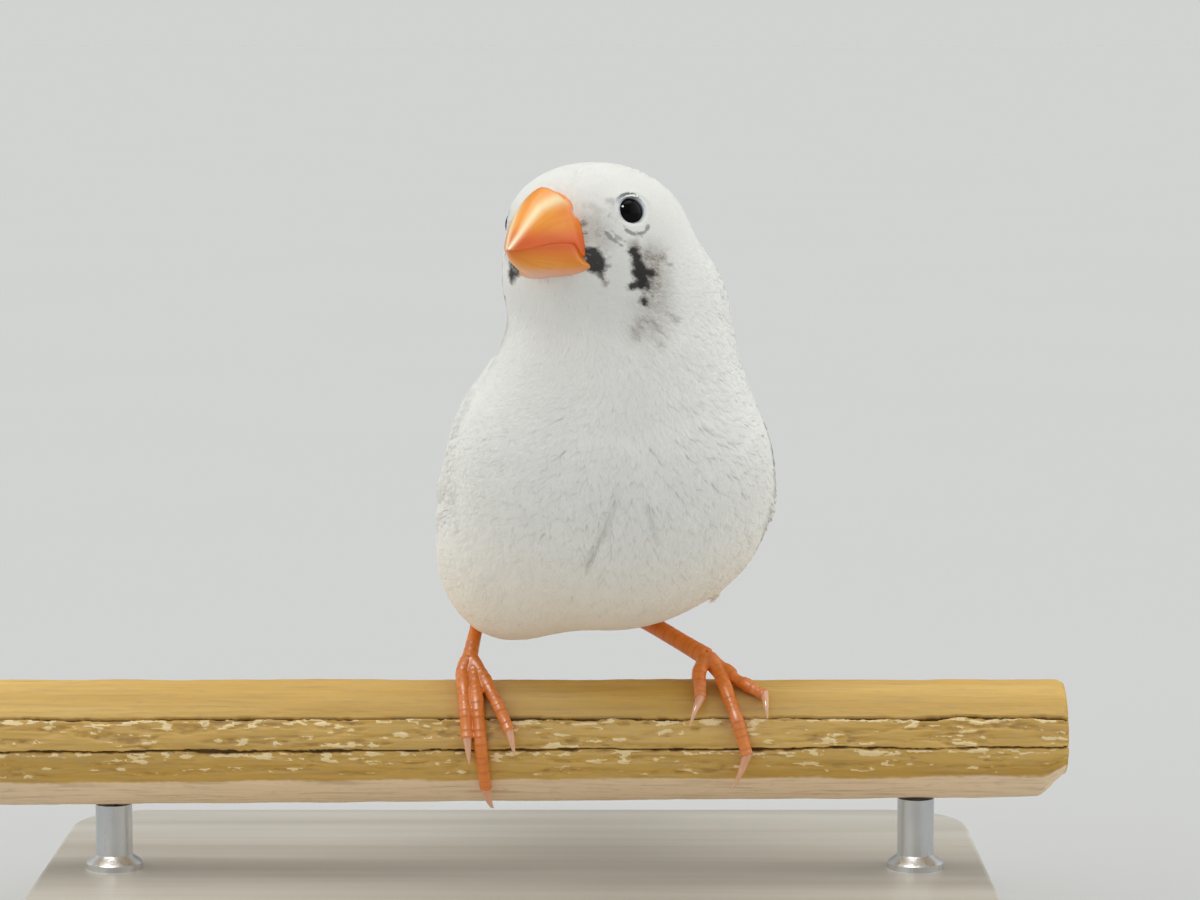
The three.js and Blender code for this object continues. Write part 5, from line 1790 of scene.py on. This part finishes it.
def perch_relief(x, degrees, sizes):
    """How far the perch's surface rises or falls, in millimetres, and what its material reads."""
    turn = np.radians(degrees)
    ring = np.stack([x * 0, 8 * np.cos(turn), 8 * np.sin(turn)], axis=1)

    def stretched(share):
        return ring + np.outer(x, (share, 0, 0))

    long_grain, short_grain = stretched(0.16), stretched(0.5)
    wander = rough(long_grain, 1.3, seed=1.0) * 2.4 + rough(stretched(1.2), 0.8, seed=6.0) * 0.7
    crack = np.zeros(len(x))
    lip = np.zeros(len(x))
    for angle, strength in CRACKS:
        apart = (degrees - angle - wander + 180) % 360 - 180
        width = 1.0 + 1.5 * np.maximum(0, rough(short_grain, 1.1, seed=angle * 0.1)) * (1 + (apart > 0))
        crack = np.maximum(crack, strength * (1 - smoothstep(np.abs(apart), width * 0.3, width)))
        lip = np.maximum(lip, smoothstep(apart, 0.4, 1.6) * (1 - smoothstep(apart, 3, 9)))
    bands = np.zeros(len(x))
    for low, high, strength in GNAWED_BANDS:
        after = smoothstep(degrees - wander, low - 1, low + 1)
        before = 1 - smoothstep(degrees - wander, high - 5, high)
        bands = np.maximum(bands, after * before * strength)
    patches = smoothstep(rough(long_grain, 1.1, seed=5.0), -0.3, 0.3)
    chips = rough(short_grain, 0.75, seed=9.0, octaves=5)
    fibres = rough(long_grain, 0.3, seed=8.0, octaves=5)
    gnaw = bands * patches
    worn = rough(stretched(0.3), 2.2, seed=2.0) * 0.11
    rise = worn - sizes.groove_depth / MM * crack - sizes.gnaw_depth / MM * gnaw * (0.4 - 0.75 * chips)
    rise = rise + gnaw * fibres * 0.12 + (1 - bands) * fibres * 0.025
    ragged = np.maximum(gnaw, 0.8 * lip * (bands > 0.2))
    parts = {
        # The cracks and the deepest gnawed hollows carry painted shade.
        "crack": crack, "hollow_shade": gnaw * smoothstep(-chips, 0.05, 0.45),
        "fresh": ragged * smoothstep(chips + 0.5 * fibres + 0.25 * lip, 0.2, 0.42),
        "planed": smoothstep(degrees + wander, 118, 121) * (1 - smoothstep(degrees, 205, 225)),
    }
    return rise, parts


class FINCH_OT_perch(bpy.types.Operator):
    """Makes the worn perch with its cracks and gnawed bands"""

    bl_idname = "finch.perch"
    bl_label = "Perch"

    def execute(self, context):
        sizes = context.scene.finch_perch
        radius, length = sizes.radius / MM, sizes.length / MM
        parts = {}

        def place(along, across):
            cap = 0.012
            inner = np.clip((along - cap) / (1 - 2 * cap), 0, 1)
            closing = np.clip(np.minimum(along, 1 - along) / cap, 0, 1)
            x = length * (inner - 0.5) - BIRD_ORIGIN[0]
            degrees = np.interp(across, *COLUMN_SPREAD)
            rise, read = perch_relief(x, degrees, sizes)
            for name, values in read.items():
                parts[name] = values * (closing >= 1)
            parts["cut_end"] = 1 - smoothstep(closing, 0.9, 1)
            taper = lerp(1.07, 1.0, inner)
            drop = radius * (1 - taper)
            turn = np.radians(degrees)
            end = length / 2 - BIRD_ORIGIN[0]
            chamfer = 2.4 * smoothstep(x, end - 3, end)
            under = np.maximum(0, -np.cos(turn)) * chamfer
            rim = 1 - 0.05 * (1 - smoothstep(np.minimum(inner, 1 - inner) * length, 0, 0.7))
            r = (radius * taper + rise) * np.where(closing < 1, rim * np.sqrt(closing), rim)
            points = np.stack([x, -r * np.sin(turn), r * np.cos(turn) + drop + under * (r / radius)], axis=1)
            return to_stand(points)

        perch = grid_piece("perch_wood", 500, 184, place)
        for name, values in parts.items():
            tag(perch, name, values)
        close_seams(perch)
        finish_piece(perch, self.material(context.scene), ("perch",))
        return {"FINISHED"}

    @staticmethod
    def material(scene):
        colours = scene.finch_perch
        material, tree, shader = new_material("Worn wood", roughness=0.82)
        fine, broad = grained(tree, 1.0)
        grit = noise_at(tree, object_place(tree, (0.4, 1, 1)), 1500.0, detail=6.0)
        wood = laid_over(tree, broad, colours.tan, colours.light, 1.0, 0.3, 0.7)
        flat = mixed(tree, attribute(tree, "planed"), wood, colours.planed)
        streaked = laid_over(tree, fine, flat, (0.36, 0.24, 0.12), 0.4, 0.52, 0.72)
        gritty = laid_over(tree, grit, streaked, (0.42, 0.29, 0.14), 0.3, 0.55, 0.75)
        splintered = noise_at(tree, object_place(tree, (0.35, 1, 1)), 1100.0, 8.0, 0.7)
        chips = sums(tree, "SUBTRACT", splintered, 0.5)
        # Painted shade in the deepest gnawed hollows.
        hollow_shade = sums(tree, "ADD", attribute(tree, "hollow_shade"), sums(tree, "MULTIPLY", chips, 1.6))
        fresh = sums(tree, "SUBTRACT", attribute(tree, "fresh"), sums(tree, "MULTIPLY", chips, 1.8))
        sunk = laid_over(tree, hollow_shade, gritty, (0.40, 0.25, 0.09), 0.5, 0.5, 0.8)
        pale = laid_over(tree, fresh, sunk, colours.pale, 0.85, 0.5, 0.62)
        # Painted shade in the cracks.
        crack_shaded = laid_over(tree, "crack", pale, colours.dark, 0.9, 0.25, 0.9)
        from_pith = node(tree, "ShaderNodeSeparateXYZ", {0: object_place(tree)})
        steps = [sums(tree, "SUBTRACT", from_pith.outputs[i], PITH[i - 1] * MM) for i in (1, 2)]
        squares = [sums(tree, "POWER", sums(tree, "ABSOLUTE", step), 2.0) for step in steps]
        apart = sums(tree, "POWER", sums(tree, "ADD", *squares), 0.5)
        warped = sums(tree, "ADD", apart, sums(tree, "MULTIPLY", broad, 0.0012))
        rings = sums(tree, "SINE", sums(tree, "MULTIPLY", warped, 2 * math.pi / (RING_WIDTH * MM)))
        sawn = laid_over(tree, rings, colours.light, (0.44, 0.25, 0.07), 0.8, -0.6)
        colour_from(tree, shader, mixed(tree, attribute(tree, "cut_end"), crack_shaded, sawn))
        bumped(tree, shader, fine, 0.4, 0.00018)
        return material


# Stand


class FINCH_OT_stand(bpy.types.Operator):
    """Makes the flat wooden base and the two steel rods with their collars"""

    bl_idname = "finch.stand"
    bl_label = "Stand"

    def execute(self, context):
        self.base(context)
        material, tree, shader = new_material("Brushed steel", metallic=1.0)
        drawn = noise_at(tree, object_place(tree, (1, 1, 0.04)), 5200.0, detail=3.0)
        tree.links.new(ranged(tree, drawn, 0.3, 0.7, 0.26, 0.42), shader.inputs["Roughness"])
        colour_from(tree, shader, toned(tree, context.scene.finch_stand.steel, 120.0, 0.08))
        for side in ("left", "right"):
            self.rod(side, context.scene.finch_stand, material)
        return {"FINISHED"}

    @staticmethod
    def base(context):
        sizes = context.scene.finch_stand
        low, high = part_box("stand_base")
        base = primitive("stand_plinth", bpy.ops.mesh.primitive_cube_add, size=1, location=(low + high) / 2)
        base.scale = high - low
        settle()
        activate(base)
        bpy.ops.object.mode_set(mode="EDIT")
        bpy.ops.mesh.select_mode(type="EDGE")
        bpy.ops.mesh.select_all(action="DESELECT")
        bpy.ops.object.mode_set(mode="OBJECT")
        for edge in base.data.edges:
            first, second = (base.data.vertices[i].co for i in edge.vertices)
            edge.select = abs(first.z - second.z) > 1e-6
        bpy.ops.object.mode_set(mode="EDIT")
        bpy.ops.mesh.bevel(offset=sizes.corner, segments=14, affect="EDGES")
        bpy.ops.object.mode_set(mode="OBJECT")
        apply_modifier(base, "BEVEL", width=sizes.edge, segments=4, limit_method="ANGLE",
                       angle_limit=math.radians(50))
        finish = {"roughness": 0.42, "Coat_Weight": 0.25, "Coat_Roughness": 0.3}
        material, tree, shader = new_material("Plinth wood", **finish)
        fine, broad = grained(tree, 0.35)
        tint = laid_over(tree, broad, sizes.wood, sizes.wood_dark, 1.0, 0.3, 0.7)
        colour_from(tree, shader, laid_over(tree, fine, tint, sizes.wood_dark, 0.5, 0.5, 0.75))
        bumped(tree, shader, fine, 0.1, 0.0001)
        finish_piece(base, material, ("stand_base",), 30)

    @staticmethod
    def rod(side, sizes, material):
        low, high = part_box(f"stand_rod_{side}")
        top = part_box("stand_base")[1].z
        radius = (high - low).x / 2
        middle = (low + high) / 2
        collar = radius + sizes.collar
        rise = 1.3 * MM
        profile = (
            (collar, top), (collar, top + rise * 0.5), (collar - 0.3 * MM, top + rise * 0.75),
            (radius + 0.25 * MM, top + rise), (radius, top + rise * 1.2), (radius, high.z - 0.2 * MM),
        )
        rod = primitive(
            f"stand_rod_steel_{side}", bpy.ops.mesh.primitive_circle_add, vertices=64, radius=collar,
            fill_type="NGON", location=(middle.x, middle.y, top),
        )
        bpy.ops.object.mode_set(mode="EDIT")
        bpy.ops.mesh.select_all(action="SELECT")
        for (wide, level), (next_wide, next_level) in zip(profile, profile[1:]):
            bpy.ops.mesh.extrude_region_move(TRANSFORM_OT_translate={"value": (0, 0, next_level - level)})
            ratio = next_wide / wide
            centre = (middle.x, middle.y, next_level)
            bpy.ops.transform.resize(value=(ratio, ratio, 1), center_override=centre)
        bpy.ops.mesh.select_all(action="SELECT")
        bpy.ops.mesh.normals_make_consistent(inside=False)
        bpy.ops.object.mode_set(mode="OBJECT")
        settle()
        finish_piece(rod, material, (f"stand_rod_{side}",), 40)


# Stage


# The colours of the light, and the ways that the light from above and the glint come from. The
# floor's colour is worked out from them, so that it is as bright as what lies behind it.
SKY_COLOUR = (0.985, 1.0, 0.985)
KEY_COLOUR = (1.0, 0.985, 0.95)
KEY_WAY = (0.0, -0.16, -1.0)
CATCH_WAY = (0.30, 0.495, -0.805)
CATCH_SPREAD = math.radians(14)
# The sky's light grows between the first and the second number: with its direction's distance from
# the middle, with its height, and from the backdrop's brightness at the horizon.
SIDES_FROM = (0.3, 1.0)
OVERHEAD_FROM = (0.2, 1.0)
HORIZON = (0.02, 0.15)
# The floor's width in metres, the photo's width in pixels, and where in the bird's frame the camera
# looks.
FLOOR_WIDTH = 400
PHOTO_WIDTH = 1200
AIM = (-0.65, 0, 31.75)


def level_light(stage):
    """How much light from the sky falls on level ground."""
    levels, turns = 60, 90
    height = np.sqrt((np.arange(levels) + 0.5) / levels)[:, None]
    across = np.abs(np.cos((np.arange(turns) + 0.5) / turns * np.pi)) * np.sqrt(1 - height**2)

    def grown(value, low, high):
        return np.clip((value - low) / (high - low), 0, 1)

    light = stage.daylight + stage.sides * grown(across, *SIDES_FROM)
    light = light + stage.overhead * grown(height, *OVERHEAD_FROM)
    return float(lerp(stage.backdrop, light, grown(height, *HORIZON)).mean())


class FINCH_OT_stage(bpy.types.Operator):
    """Lays the floor, sets the lights and places the camera"""

    bl_idname = "finch.stage"
    bl_label = "Stage"

    def execute(self, context):
        stage = context.scene.finch_stage
        self.floor(stage)
        self.lights(context.scene, stage)
        self.camera(context.scene, stage)
        context.scene.view_settings.view_transform = "Standard"
        return {"FINISHED"}

    @staticmethod
    def floor(stage):
        floor = primitive("floor", bpy.ops.mesh.primitive_plane_add, size=FLOOR_WIDTH)
        seen = np.array(SKY_COLOUR) * stage.backdrop
        sky = np.array(SKY_COLOUR) * level_light(stage)
        sun = np.array(KEY_COLOUR) * stage.key * abs(Vector(KEY_WAY).normalized().z) / math.pi
        material, tree, shader = new_material("Floor", roughness=1.0, Specular_IOR_Level=0.0)
        colour_from(tree, shader, toned(tree, tuple(seen / (sky + sun)), 6.0, 0.02))
        floor.data.materials.append(material)

    @staticmethod
    def lights(scene, stage):
        world = bpy.data.worlds.new("Daylight")
        world.use_nodes = True
        background = world.node_tree.nodes["Background"]
        background.inputs["Color"].default_value = rgba(SKY_COLOUR)
        tree = world.node_tree
        way = node(tree, "ShaderNodeSeparateXYZ", {0: node(tree, "ShaderNodeTexCoord").outputs["Generated"]})
        across = sums(tree, "ABSOLUTE", way.outputs[0])
        sides = ranged(tree, across, *SIDES_FROM, stage.daylight, stage.daylight + stage.sides)
        above = ranged(tree, way.outputs[2], *OVERHEAD_FROM, 0.0, stage.overhead)
        light = sums(tree, "SUBTRACT", sums(tree, "ADD", sides, above), stage.backdrop)
        raised = sums(tree, "MULTIPLY", light, ranged(tree, way.outputs[2], *HORIZON))
        tree.links.new(sums(tree, "ADD", raised, stage.backdrop), background.inputs["Strength"])
        scene.world = world
        lamps = (
            ("key", stage.key, stage.key_spread, KEY_WAY),
            ("catch", stage.catch, CATCH_SPREAD, CATCH_WAY),
        )
        for name, strength, spread, way in lamps:
            light = bpy.data.lights.new(name, "SUN")
            light.energy = strength
            light.angle = spread
            light.color = KEY_COLOUR
            lamp = bpy.data.objects.new(name, light)
            lamp.rotation_euler = Vector(way).to_track_quat("-Z", "Y").to_euler()
            lamp.visible_diffuse = name == "key"
            scene.collection.objects.link(lamp)

    @staticmethod
    def camera(scene, stage):
        aim = Vector(to_stand([AIM])[0])
        back = Vector((0, -math.cos(stage.elevation), math.sin(stage.elevation)))
        data = bpy.data.cameras.new("camera")
        data.sensor_width = 36
        focal_pixels = stage.pixels_per_millimetre * stage.distance / MM
        data.lens = focal_pixels / PHOTO_WIDTH * data.sensor_width
        data.clip_start = 0.01
        camera = bpy.data.objects.new("camera", data)
        camera.location = aim + back * stage.distance
        camera.rotation_euler = (-back).to_track_quat("-Z", "Y").to_euler()
        scene.collection.objects.link(camera)
        scene.camera = camera


# Panel and registration


PROPERTY_GROUPS = {
    "finch_plumage": FinchPlumage,
    "finch_wings": FinchWings,
    "finch_head": FinchHead,
    "finch_feet": FinchFeet,
    "finch_perch": FinchPerch,
    "finch_stand": FinchStand,
    "finch_stage": FinchStage,
}
OPERATORS = (
    FINCH_OT_stage, FINCH_OT_stand, FINCH_OT_perch, FINCH_OT_feet, FINCH_OT_claws, FINCH_OT_bill,
    FINCH_OT_eyes, FINCH_OT_skin, FINCH_OT_wings, FINCH_OT_tail, FINCH_OT_coat,
)


class FINCH_PT_panel(bpy.types.Panel):
    """Lists the finch's pieces in the order in which they are made"""

    bl_idname = "FINCH_PT_panel"
    bl_label = "White Zebra Finch"
    bl_space_type = "VIEW_3D"
    bl_region_type = "UI"
    bl_category = "Finch"

    def draw(self, context):
        for operator in OPERATORS:
            self.layout.operator(operator.bl_idname)
        for name, group in PROPERTY_GROUPS.items():
            box = self.layout.box()
            for key in group.__annotations__:
                box.prop(getattr(context.scene, name), key)


def register():
    for name, group in PROPERTY_GROUPS.items():
        bpy.utils.register_class(group)
        setattr(bpy.types.Scene, name, bpy.props.PointerProperty(type=group))
    for operator in OPERATORS:
        bpy.utils.register_class(operator)
    bpy.utils.register_class(FINCH_PT_panel)


def unregister():
    bpy.utils.unregister_class(FINCH_PT_panel)
    for operator in reversed(OPERATORS):
        bpy.utils.unregister_class(operator)
    for name, group in PROPERTY_GROUPS.items():
        delattr(bpy.types.Scene, name)
        bpy.utils.unregister_class(group)


def main():
    register()
    for operator in OPERATORS:
        getattr(bpy.ops.finch, operator.bl_idname.split(".")[1])()


if __name__ == "__main__":
    main()
